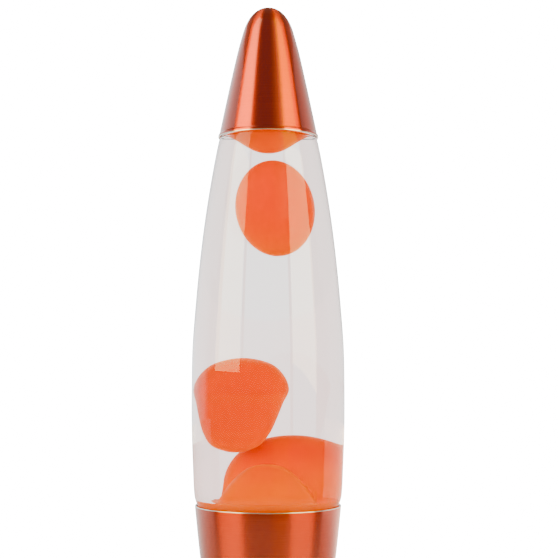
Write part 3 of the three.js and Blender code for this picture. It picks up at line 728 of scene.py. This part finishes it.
def base_shell():
    upper = bezier((RIM_R, RIM_Z), (32.8, 107.6), (28.6, 88), (WAIST_R, WAIST_Z), 36)
    lower = bezier((WAIST_R, WAIST_Z), (27.2, 45), (39, 31), (FOOT_R - 0.8, FOOT_BAND_TOP), 36)
    outside = [*upper, *lower[1:]]
    inside = offset(outside, -SHELL_WALL)
    band = rounded([
        (FLANGE_INNER_R, FLANGE_Z + SHELL_WALL, 0), (FLANGE_INNER_R, FLANGE_Z, 0.3), (FOOT_R, FLANGE_Z, 1.9),
        (FOOT_R, FOOT_BAND_TOP - 0.4, 0.9), (*outside[-2], 0),
    ])[:-1]
    band_inside = rounded([
        (*inside[-2], 0), (FOOT_R - SHELL_WALL, FOOT_BAND_TOP - 1.2, 0.9),
        (FOOT_R - SHELL_WALL, FLANGE_Z + SHELL_WALL, 1.2), (FLANGE_INNER_R, FLANGE_Z + SHELL_WALL, 0),
    ])[1:-1]
    rim = rounded([(*outside[1], 0), (RIM_R, RIM_Z, 0.28), (RIM_INNER_R, RIM_Z, 0.28), (*inside[1], 0)])
    outline = [*band, *reversed(outside[1:-1]), *rim[1:-1], *inside[1:-1], *band_inside]
    shell = turned("base_shell_turned", outline, FINE, closed=True)
    screw_holes = [moved(rod(SCREW_HOLE_R, FLANGE_Z - 1, FLANGE_Z + 3), x, y) for x, y in PLATE_SCREWS]
    cord_hole = moved(rod(GROMMET_NECK_R + 0.3, FOOT_R - 5, FOOT_R + 5, 64), z=GROMMET_Z, turn=ALONG_Y)
    cut(shell, cord_hole, *screw_holes)
    copper = copper_anodised("copper_base", RIM_Z - 0.5, 1)
    stands_for(shell, "base_shell", "base", copper)


# ---- Bottom plate, its screws, the feet and the grommet ----


def vent(middle, ring_r=34, half_width=1.8, half_angle=math.radians(13)):
    """One arc-shaped vent through the plate with round ends, about an angle."""
    turns = [half_angle * (i / 6 - 1) for i in range(13)]
    return [
        *[on_ring(ring_r + half_width, middle + turn) for turn in turns],
        *round_end(ring_r, half_width, middle + half_angle, 0),
        *[on_ring(ring_r - half_width, middle - turn) for turn in turns],
        *round_end(ring_r, half_width, middle - half_angle, math.pi),
    ]


def round_end(ring_r, half_width, angle, start):
    """The half circle at one end of a vent, from a starting direction past the end's own angle."""
    centre = Vector(on_ring(ring_r, angle))
    return [tuple(centre + Vector(on_ring(half_width, angle + start + math.pi * i / 8))) for i in range(1, 8)]


def bottom_plate():
    holes = [circle(x, y, SCREW_HOLE_R) for x, y in PLATE_SCREWS]
    holes += [circle(side * BRACKET_SCREW_X, 0, SCREW_HOLE_R) for side in (-1, 1)]
    vents = [vent(TURN * (i + 0.5) / 8) for i in range(8)]
    loops = [circle(0, 0, PLATE_R, FINE), *holes, *vents]
    plate = sheet("bottom_plate_sheet", loops, PLATE_TOP - PLATE_BOTTOM, 0.15)
    moved(plate, z=PLATE_BOTTOM)
    small_part(plate, "bottom_plate", "base", "zinc_steel")


def pan_screw(name, length, shank_r=SCREW_SHANK_R, head_r=SCREW_HEAD_R, pitch=0.7):
    """A pan-head screw with a cross recess, head down, with its bearing face at z = 0."""
    high, thread_depth, run_out = SCREW_HEAD_HIGH, 0.2, 0.3
    head = [
        (0, -high, 0), (head_r * 0.84, -high, 0.5), (head_r, -high * 0.5, 0.8), (head_r, 0, 0.15),
        (shank_r, 0, 0),
    ]
    head = rounded(head, 4)
    rings = max(8, round(length / pitch * 8))

    def outline(angle):
        shank = []
        for i in range(1, rings + 1):
            z = length * i / rings
            if z > length - run_out:
                deep = min(1, (length - z) / run_out + 0.2)
            else:
                deep = min(1, z / run_out)
            wave = (1 - math.cos(TURN * z / pitch - angle)) / 2
            shank.append((shank_r - thread_depth * wave * deep, z))
        return [*head, *shank, (shank_r * 0.6, length), (0, length)]

    screw = turned(name, outline, 32, sharp=40)
    arms = [wedge(head_r / 8, head_r / 2, -high - 0.2, -high + 0.8, 0.6) for _ in range(2)]
    moved(arms[1], turn=Matrix.Rotation(math.pi / 2, 4, "Z"))
    return cut(screw, *arms, sharp=40)


def screws():
    for i, (x, y) in enumerate(PLATE_SCREWS):
        screw = moved(pan_screw(f"plate_screw_{i + 1}_threaded", 5.5), x, y, PLATE_BOTTOM - SCREW_SEAT)
        small_part(screw, f"plate_screw_{i + 1}", "base", "zinc_steel")
    over = Matrix.Rotation(math.pi, 4, "X")
    for i, side in enumerate((-1, 1)):
        screw = pan_screw(f"bracket_screw_{i + 1}_threaded", 4.4)
        moved(screw, side * BRACKET_SCREW_X, 0, BRACKET_TOP + SCREW_SEAT, over)
        small_part(screw, f"bracket_screw_{i + 1}", "base", "zinc_steel")
        screw = pan_screw(f"terminal_screw_{i + 1}_threaded", 1.5, 1, 1.9, 0.4)
        moved(screw, 0, side * TERMINAL_Y, TERMINAL_Z, Matrix.Rotation(side * math.pi / 2, 4, "X"))
        small_part(screw, f"terminal_screw_{i + 1}", "base", "plain_brass")


def rubber_feet():
    outline = [
        (0, 0.5, 0), (2.6, 0.5, 0.3), (3.1, 0, 0.3), (5.7, 0, 0.4), (6.4, 0.7, 0.4), (6.5, 2.7, 0.1),
        (0, 2.7, 0),
    ]
    for i, angle in enumerate((45, 135, 225, 315)):
        foot = turned(f"foot_{i + 1}_moulded", rounded(outline), SMALL)
        moved(foot, *on_ring(FOOT_RING_R, math.radians(angle)))
        small_part(foot, f"foot_{i + 1}", "base", "black_rubber")


def cord_grommet():
    outer, inner = FOOT_R + 0.3, FOOT_R - SHELL_WALL - 0.7
    outline = rounded([
        (GROMMET_BORE_R, inner - 2.2, 0.2), (4.0, inner - 2.2, 0.5), (GROMMET_FLANGE_R, inner - 1, 0.5),
        (GROMMET_FLANGE_R, inner, 0.2), (GROMMET_NECK_R, inner, 0.1), (GROMMET_NECK_R, outer, 0.1),
        (GROMMET_FLANGE_R, outer, 0.2), (4.6, outer + 1, 0.5), (3.75, outer + 2, 0.5),
        (GROMMET_BORE_R, outer + 1.4, 0.4),
    ])
    grommet = moved(turned("cord_grommet_moulded", outline, SMALL, closed=True), z=GROMMET_Z, turn=ALONG_Y)
    small_part(grommet, "cord_grommet", "base", "black_rubber")


# ---- Lampholder ----

HOLDER_FLOOR_Z, HOLDER_TOP_Z = 9.3, 36
TERMINAL_Y, TERMINAL_Z = 10.9, 13.5
THREAD_PITCH = 2.82
SLEEVE_LOW_Z, SLEEVE_TOP_Z = 19.8, 33
SLEEVE_R, SLEEVE_WAVE, SLEEVE_HALF_WALL = 7.6, 0.12, 0.08


def strip(name, corners, width):
    """A bent strip of sheet across the lamp: its outline as (x, z, round) corners, and its width along Y."""
    made = sheet(name, [rounded(corners, 4)], width, 0.08)
    upright = Matrix.Rotation(math.pi / 2, 4, "X")
    return moved(made, y=width / 2, turn=upright)


def mirrored(corners):
    return [(-x, z, size) for x, z, size in reversed(corners)]


def lampholder():
    over = [(24, 4.3, 0.3), (24, 5.3, 0.3), (14.5, 5.3, 0.9), (13, 9.0, 1.2)]
    under = [(12.1, 8.0, 0.6), (13.6, 4.3, 1.2)]
    bracket = strip("holder_bracket_bent", [*over, *mirrored(over), *mirrored(under), *under], BRACKET_WIDTH)
    holes = [moved(rod(SCREW_HOLE_R, 2, 7), side * BRACKET_SCREW_X) for side in (-1, 1)]
    small_part(cut(bracket, *holes), "holder_bracket", "base", "zinc_steel")

    outline = rounded([
        (0, HOLDER_FLOOR_Z, 0), (12.3, HOLDER_FLOOR_Z, 0.6), (13.3, HOLDER_FLOOR_Z + 1, 0.6), (13.3, 20, 0.7),
        (11.7, 22, 0.7), (11.7, 35, 0.6), (10.7, HOLDER_TOP_Z, 0.6), (8.9, HOLDER_TOP_Z, 0.4),
        (8.1, 35.2, 0.4), (8.1, 19.5, 0.2), (6.6, 19.5, 0.3), (6.6, 11, 0.6), (0, 11, 0),
    ])
    pockets = []
    for side in (-1, 1):
        pockets.append(moved(wedge(2.3, 2.7, -4.5, 4.5), 0, side * (TERMINAL_Y + 0.8), TERMINAL_Z))
    body = cut(turned("lampholder_body_moulded", outline, 96), *pockets)
    small_part(body, "lampholder_body", "base", "glazed_ceramic")

    def rolled(angle):
        rings = [SLEEVE_LOW_Z + (SLEEVE_TOP_Z - SLEEVE_LOW_Z) * i / 60 for i in range(61)]
        middle = [(SLEEVE_R - SLEEVE_WAVE * math.cos(TURN * z / THREAD_PITCH - angle), z) for z in rings]
        outside = [(r + SLEEVE_HALF_WALL, z) for r, z in middle]
        return [*outside, *[(r - SLEEVE_HALF_WALL, z) for r, z in reversed(middle)]]

    sleeve = turned("lampholder_sleeve_rolled", rolled, 48, closed=True)
    small_part(sleeve, "lampholder_sleeve", "base", "plain_brass")

    folded = [
        (-4.6, 11.3, 0), (4.2, 11.3, 0.9), (5, 12.1, 0.9), (5, 12.8, 0.9), (4.2, 13.6, 0.9), (-1.4, 13.6, 0),
        (-1.4, 13.2, 0), (4, 13.2, 0.6), (4.6, 12.6, 0.6), (4.6, 12.3, 0.6), (4, 11.7, 0.6), (-4.6, 11.7, 0),
    ]
    contact = strip("lampholder_contact_folded", folded, 4.4)
    small_part(contact, "lampholder_contact", "base", "plain_brass")


# ---- Bulb ----

BULB_NECK_R, BULB_TOP_Z, BULB_CONTACT_Z = 6.2, 80, 14
BULB_GLASS = 0.8
REFLECTOR_TOP_Z = 66
THREAD_MINOR_R, THREAD_MAJOR_R = 6.2, 6.9
STEM_TOP_Z, LEAD_R = 46.5, 0.3
FILAMENT_Z, FILAMENT_HALF, FILAMENT_ARCH, FILAMENT_TURNS = 60, 6.8, 5, 40
FILAMENT_COIL_R, FILAMENT_WIRE_R, FILAMENT_STEPS = 0.38, 0.09, 640


def bulb_envelope():
    neck = [(BULB_NECK_R, 31.3), (BULB_NECK_R, 34)]
    flare = bezier((BULB_NECK_R, 37), (7.5, 45), (17, 52), (19.4, REFLECTOR_TOP_Z), 28)
    shoulder = bezier((19.4, REFLECTOR_TOP_Z), (19.6, 67.4), (19.5, 69), (18.7, 70.4), 8)
    face = bezier((18.7, 70.4), (14.5, 77), (7, BULB_TOP_Z), (0, BULB_TOP_Z), 28)
    outside = [*neck, *flare, *shoulder[1:], *face[1:]]
    inside = offset(outside, BULB_GLASS)
    inside[-1] = (0, inside[-1][1])
    envelope = turned("bulb_envelope_blown", [*reversed(inside), *outside], 96, sharp=60)
    silver = (0.80, 0.80, 0.79), (0.88, 0.88, 0.87), (0.10, 0.2), 120, 0.01
    silvered = worked("bulb_silvering", *silver, **METAL)
    frost = (0.90, 0.90, 0.90), (0.97, 0.97, 0.96), (0.34, 0.46), 900, 0.02
    frosted = worked("bulb_frosting", *frost, **SEE_THROUGH)
    envelope.data.materials.append(frosted)
    envelope.data.materials.append(silvered)
    for part in envelope.data.polygons:
        part.material_index = int(part.center.z < (REFLECTOR_TOP_Z + 0.5) * MM)
    stands_for(envelope, "bulb_envelope", "bulb", None)


def bulb_cap():
    low, skirt_low, skirt_top = BULB_CONTACT_Z + 5.5, BULB_CONTACT_Z + 17, BULB_CONTACT_Z + 21

    def outline(angle):
        ridges = []
        for i in range(81):
            z = low + (skirt_low - low) * i / 80
            deep = min(1, (z - low) / 1.2, (skirt_low - z) / 1.2)
            wave = (1 - math.cos(TURN * z / THREAD_PITCH - angle)) / 2
            ridges.append((THREAD_MINOR_R + (THREAD_MAJOR_R - THREAD_MINOR_R) * wave * deep, z))
        skirt = [(6.95, skirt_low + 0.4), (7.1, skirt_low + 0.8), (7.1, skirt_top - 0.2), (7.0, skirt_top)]
        inside = [(6.6, skirt_top), (6.6, skirt_low + 0.2), (5.7, skirt_low - 0.4), (5.7, low)]
        return [*ridges, *skirt, *inside]

    cap = turned("bulb_screw_cap_rolled", outline, 64, closed=True, sharp=50)
    small_part(cap, "bulb_screw_cap", "bulb", "cap_aluminium")
    outline = rounded([(0, 15.8, 0), (2.6, 15.8, 0.3), (5.9, 18.7, 0.4), (5.9, 19.2, 0.1), (0, 19.2, 0)])
    insulator = turned("bulb_insulator_cast", outline, SMALL)
    small_part(insulator, "bulb_insulator", "bulb", "black_glass")
    outline = rounded([(0, 14, 0), (1.7, 14.05, 0.6), (2.4, 14.7, 0.5), (2.4, 15.5, 0.1), (0, 15.5, 0)])
    contact = turned("bulb_contact_soldered", outline, 48)
    small_part(contact, "bulb_contact", "bulb", "solder")


def bulb_inside():
    top = STEM_TOP_Z
    outline = rounded([
        (0, top - 13.5, 0), (4.9, top - 13.5, 0.3), (4.9, top - 12.7, 0.4), (2.6, top - 9.5, 2),
        (2.2, top - 1.5, 0.8), (1.6, top, 0.5), (0, top, 0),
    ])
    stem = turned("bulb_stem_pressed", outline, 48)
    small_part(stem, "bulb_stem", "bulb", "stem_glass")
    for i, side in enumerate((-1, 1)):
        bow = bezier((0.9, top + 0.3), (1.4, top + 5), (6, top + 7), (FILAMENT_HALF, FILAMENT_Z - 0.9), 24)
        lead = tube(f"bulb_lead_{i + 1}_drawn", [(side * x, 0, z) for x, z in bow], LEAD_R)
        small_part(lead, f"bulb_lead_{i + 1}", "bulb", "lead_wire")
    path = []
    for i in range(FILAMENT_STEPS + 1):
        t = i / FILAMENT_STEPS
        arch = 2 * t * (1 - t) * FILAMENT_ARCH
        y, rise = on_ring(FILAMENT_COIL_R, TURN * FILAMENT_TURNS * t)
        path.append((FILAMENT_HALF * (2 * t - 1), y, FILAMENT_Z + arch + rise))
    filament = tube("bulb_filament_coiled", path, FILAMENT_WIRE_R, 6)
    small_part(filament, "bulb_filament", "bulb", "tungsten")


# ---- Bottle ----

BOTTLE_WALL = 2.2
BOTTLE_FLOOR_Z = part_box("bottle_glass")[0].z / MM
BOTTLE_TOP_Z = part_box("bottle_glass")[1].z / MM
NECK_R, NECK_BORE_R = 13, 10.4
LIQUID_GAP = 0.03  # between the liquid and the glass
LIQUID_TOP_Z = 357

BOTTLE_SIDE = spline([
    (27.4, 97), (31.3, 121), (34.1, 140), (35.4, RIM_Z), (36.8, 152.5), (37.5, 165), (38.25, 186),
    (38.35, 207), (38, 226), (36.5, 247), (34.55, 268.3), (32, 289.6), (28.7, 311), (25.3, 329),
    (23.7, 332.4), (21.6, 336.5), (17.8, 344), (NECK_R, 353),
], 8)
BOTTLE_INSIDE = [point for point in offset(BOTTLE_SIDE, BOTTLE_WALL) if point[1] < 351]


def bottle_glass_piece():
    low = BOTTLE_FLOOR_Z
    heel = rounded([
        (0, low + 3, 0), (9, low + 2.4, 3), (18, low, 2), (23, low, 2), (25.8, low + 1.5, 2),
        (*BOTTLE_SIDE[1], 0),
    ])
    lip = rounded([
        (*BOTTLE_SIDE[-2], 0), (NECK_R, 353, 3), (NECK_R, BOTTLE_TOP_Z - 6, 0.5),
        (NECK_R + 0.5, BOTTLE_TOP_Z - 5, 0.5), (NECK_R + 0.5, BOTTLE_TOP_Z, 1.3),
        (NECK_BORE_R, BOTTLE_TOP_Z, 0.8), (NECK_BORE_R, 354.5, 4), (*BOTTLE_INSIDE[-1], 0),
    ])
    well = rounded([
        (*BOTTLE_INSIDE[1], 0), (23.4, low + 4.4, 2), (17.4, low + 3.6, 2), (9, low + 5.8, 3),
        (0, low + 6.6, 0),
    ])
    outline = [*heel[:-1], *BOTTLE_SIDE[1:-1], *lip[1:-1], *reversed(BOTTLE_INSIDE[2:]), *well[1:]]
    glass = turned("bottle_wall", outline, FINE, sharp=60)
    # The wall's wet inside meets the liquid, and everything else meets air.
    glass.data.materials.append(clear("bottle_glass", GLASS_IOR))
    glass.data.materials.append(clear("bottle_glass_wet", GLASS_IOR / LIQUID_IOR))
    for face in glass.data.polygons:
        middle = face.center / MM
        outward = face.normal.x * middle.x + face.normal.y * middle.y > 0.001
        near_bore = math.hypot(middle.x, middle.y) < radius_at(BOTTLE_INSIDE, middle.z) + 0.5
        in_liquid = BOTTLE_FLOOR_Z + 3.3 < middle.z < LIQUID_TOP_Z
        face.material_index = int(near_bore and in_liquid and not outward)
    stands_for(glass, "bottle_glass", "bottle", None)


def liquid_piece():
    low = BOTTLE_FLOOR_Z + LIQUID_GAP
    side = [(r - LIQUID_GAP, z) for r, z in BOTTLE_INSIDE[2:-1]]
    bottom = rounded([
        (0, low + 6.6, 0), (9, low + 5.8, 3), (17.4, low + 3.6, 2), (23.6, low + 4.3, 2), (*side[0], 0),
    ])
    top = rounded([
        (*side[-1], 0), (NECK_BORE_R - LIQUID_GAP, 354.5, 4), (NECK_BORE_R - LIQUID_GAP, LIQUID_TOP_Z, 0),
        (NECK_BORE_R - 1.2, LIQUID_TOP_Z - 0.6, 0.8), (0, LIQUID_TOP_Z - 0.6, 0),
    ])
    liquid = turned("clear_liquid", [*bottom[:-1], *side, *top[1:]], FINE, sharp=60)
    # Its sides meet the wet glass, which bends the light there, and its top meets air.
    liquid.data.materials.append(clear("clear_liquid", 1.0))
    liquid.data.materials.append(clear("clear_liquid_top", LIQUID_IOR))
    for face in liquid.data.polygons:
        face.material_index = int(face.normal.z > 0.3 and face.center.z > (LIQUID_TOP_Z - 2) * MM)
    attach(liquid, "bottle")


# ---- Wax ----

WAX_CLEARANCE = 0.4
POOL_LEVEL = 150.3
# Each mound: its middle and its reach along X and Y, its height, and the powers that shape its top and foot.
FRONT_MOUND = (-0.5, -11.5), (21, 20.5), 18.2, 2.5, 1.35
REAR_MOUND = (8, 13), (23.2, 20), 31.5, 2.1, 0.36
PEAR_AXIS, EGG_AXIS = (-11.6, 190, 0.07), (2.6, 293.7, -0.04)  # X at a height, that height, and the lean
EGG_HALF_WIDTH, EGG_HALF_HEIGHT = 15, 24.1


def mound_height(mound, x, y):
    """How far a mound stands over the pool at a place."""
    middle, reach, height, flat, steep = mound
    share = math.hypot((x - middle[0]) / reach[0], (y - middle[1]) / reach[1])
    return 0 if share >= 1 else height * (1 - share**flat) ** steep


def wax_surface(x, y):
    return POOL_LEVEL + max(mound_height(FRONT_MOUND, x, y), mound_height(REAR_MOUND, x, y))


def leaning(x, middle_z, lean):
    return lambda z: x + lean * (z - middle_z)


def wax():
    material = orange_wax()

    def wax_piece(obj, body, node):
        stands_for(obj, node, body, material)

    # The pool leaves room for the heating coil in a channel from below.
    channel_inner, channel_outer, channel_top = 16.05, 22.95, 102.75
    floor_z = BOTTLE_FLOOR_Z + 4.1

    def pool_outline(angle):
        def surface(r):
            return wax_surface(r * math.cos(angle), r * math.sin(angle))

        wall_top = surface(radius_at(BOTTLE_INSIDE, POOL_LEVEL + 10) - WAX_CLEARANCE)
        wall_low = BOTTLE_FLOOR_Z + 8
        wall = []
        for i in range(1, 25):
            z = wall_low + (wall_top - wall_low) * i / 24
            wall.append((radius_at(BOTTLE_INSIDE, z) - WAX_CLEARANCE, z))
        reach = wall[-1][0]
        top = [(reach * (1 - i / 60), surface(reach * (1 - i / 60))) for i in range(1, 61)]
        bottom = [
            (0, floor_z + 3), (9, floor_z + 2.2), (channel_inner, floor_z + 0.6),
            (channel_inner, channel_top), (channel_outer, channel_top), (channel_outer, floor_z + 2.4),
        ]
        return [*bottom, *wall, *top]

    wax_piece(turned("wax_in_the_bottom", pool_outline, FINE, sharp=80), "bottle", "wax_pool")
    pear = spline([
        (0, 173.8), (8.5, 176.6), (12.6, 183), (14.8, 190), (16.6, 197.5), (18.4, 204.5), (15.6, 212),
        (10, 217.4), (0, 219.8),
    ], 10, on_axis=True)
    lower = turned("wax_blob_rising", pear, 96, sharp=80, lean=leaning(*PEAR_AXIS))
    wax_piece(lower, "lower_blob", "wax_blob_lower")
    egg = []
    for i in range(65):
        angle = math.pi * i / 64
        egg.append((EGG_HALF_WIDTH * math.sin(angle), EGG_AXIS[1] - EGG_HALF_HEIGHT * math.cos(angle)))
    egg[0], egg[-1] = (0, egg[0][1]), (0, egg[-1][1])
    upper = turned("wax_blob_high", egg, 96, sharp=80, lean=leaning(*EGG_AXIS))
    wax_piece(upper, "upper_blob", "wax_blob_upper")
    low, high = 321.2, 352
    hang = bezier((0, low), (7, low), (9.5, low + 6.3), (16.6, low + 10.3), 24)
    roof = bezier((16.6, low + 10.3), (17, high - 9), (9, high), (0, high), 16)
    top = turned("wax_under_the_neck", [*hang, *roof[1:]], 96, sharp=80)
    wax_piece(top, "bottle", "wax_top")


# ---- Crown cap and heating coil ----

CROWN_R, CROWN_SKIRT, CROWN_SHEET, CROWN_FLUTES = 14.8, 5.8, 0.35, 21


def crown():
    top = BOTTLE_TOP_Z + 1.8
    shoulder, drop = CROWN_R - 0.6, 1.7

    def outline(angle):
        wave = math.cos(CROWN_FLUTES * angle)
        under = [(0, top - CROWN_SHEET), (CROWN_R - 2.4, top - CROWN_SHEET)]
        round_under = (shoulder - 0.4, top - 0.5), (shoulder, top - 1), (shoulder, top - drop)
        under += bezier((CROWN_R - 1.9, top - CROWN_SHEET), *round_under, 6)
        skirt, steps = [], 12
        for i in range(1, steps + 1):
            share = i / steps
            bulge = 0.4 * wave * share**0.8
            skirt.append((shoulder + 0.6 * share**1.6 + bulge, top - drop - (CROWN_SKIRT - drop) * share))
        over = [(r + CROWN_SHEET, z) for r, z in reversed(skirt)]
        side, dish_r = shoulder + CROWN_SHEET, CROWN_R - 1.9
        round_over = bezier((side, top - 1.6), (side, top - 0.5), (CROWN_R - 1.1, top), (dish_r, top), 8)
        dish = [(CROWN_R - 3, top), (CROWN_R - 3.6, top - 0.12), (0, top - 0.12)]
        return [*under, *skirt, *over, *round_over, *dish]

    cap = turned("crown_cap_pressed", outline, CROWN_FLUTES * 10, sharp=50)
    small_part(cap, "crown_cap", "bottle", "crown_steel")
    low = BOTTLE_TOP_Z + 0.3
    disc = [
        (0, low + 0.15, 0), (10, low + 0.15, 0.2), (10.6, low, 0.2), (12.3, low, 0.2), (12.3, low + 0.8, 0.2),
        (0, low + 0.8, 0),
    ]
    liner = turned("crown_liner_moulded", rounded(disc), 96)
    small_part(liner, "crown_liner", "bottle", "liner_plastic")


def heating_coil():
    """A coil of wire bent into a ring, with a small gap between its ends."""
    ring_r, turn_r, wire_r, turns, steps, z = 19.5, 2.6, 0.45, 14, 28, 99.3
    path = []
    for i in range(turns * steps + 1):
        t = i / (turns * steps)
        out, rise = on_ring(turn_r, TURN * turns * t)
        path.append((*on_ring(ring_r + out, TURN * (0.01 + 0.98 * t)), z + rise))
    coil = tube("heating_coil_wound", path, wire_r)
    small_part(coil, "heating_coil", "bottle", "coil_steel")


# ---- Top cap ----

CAP_RIM_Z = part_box("cap_shell")[0].z / MM
CAP_TOP_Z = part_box("cap_shell")[1].z / MM
CAP_WALL = 0.9
CAP_BEAD_R = 25.45


def top_cap():
    foot = (13.1, 385.5)
    tip = bezier(foot, (11.2, 392.4), (7.2, CAP_TOP_Z), (0, CAP_TOP_Z), 24)
    side = spline([(24.85, CAP_RIM_Z + 2), (23.1, 342), (19.6, 358.5), (15.9, 375.1), foot], 12)
    outside = [*side, *tip[1:]]
    inside = offset(outside, CAP_WALL)
    inside[-1] = (0, inside[-1][1])
    bead = rounded([
        (*inside[0], 0), (CAP_BEAD_R - 0.5, CAP_RIM_Z, 0.2), (CAP_BEAD_R, CAP_RIM_Z, 0.2),
        (CAP_BEAD_R, CAP_RIM_Z + 1.3, 0.3), (*outside[0], 0),
    ])[1:-1]
    cap = turned("cap_turned", [*reversed(inside), *bead, *outside], FINE)
    copper = copper_anodised("copper_cap", CAP_RIM_Z + 0.45, -1)
    stands_for(cap, "cap_shell", "cap", copper)


def rendering():
    """How light is turned into the picture."""
    scene = bpy.context.scene
    scene.view_settings.view_transform = "AgX"
    scene.view_settings.look = "AgX - Medium High Contrast"
    scene.cycles.use_denoising = True
    scene.cycles.max_bounces = 20
    scene.cycles.transmission_bounces = 20
    scene.cycles.glossy_bounces = 8
    scene.cycles.diffuse_bounces = 5


camera()
world()
for box, settings in SOFTBOXES.items():
    softbox(box, *settings)
screens()
floor()
finishes = small_finishes()
base_shell()
bottom_plate()
screws()
rubber_feet()
cord_grommet()
lampholder()
bulb_envelope()
bulb_cap()
bulb_inside()
bottle_glass_piece()
liquid_piece()
wax()
crown()
heating_coil()
top_cap()
rendering()
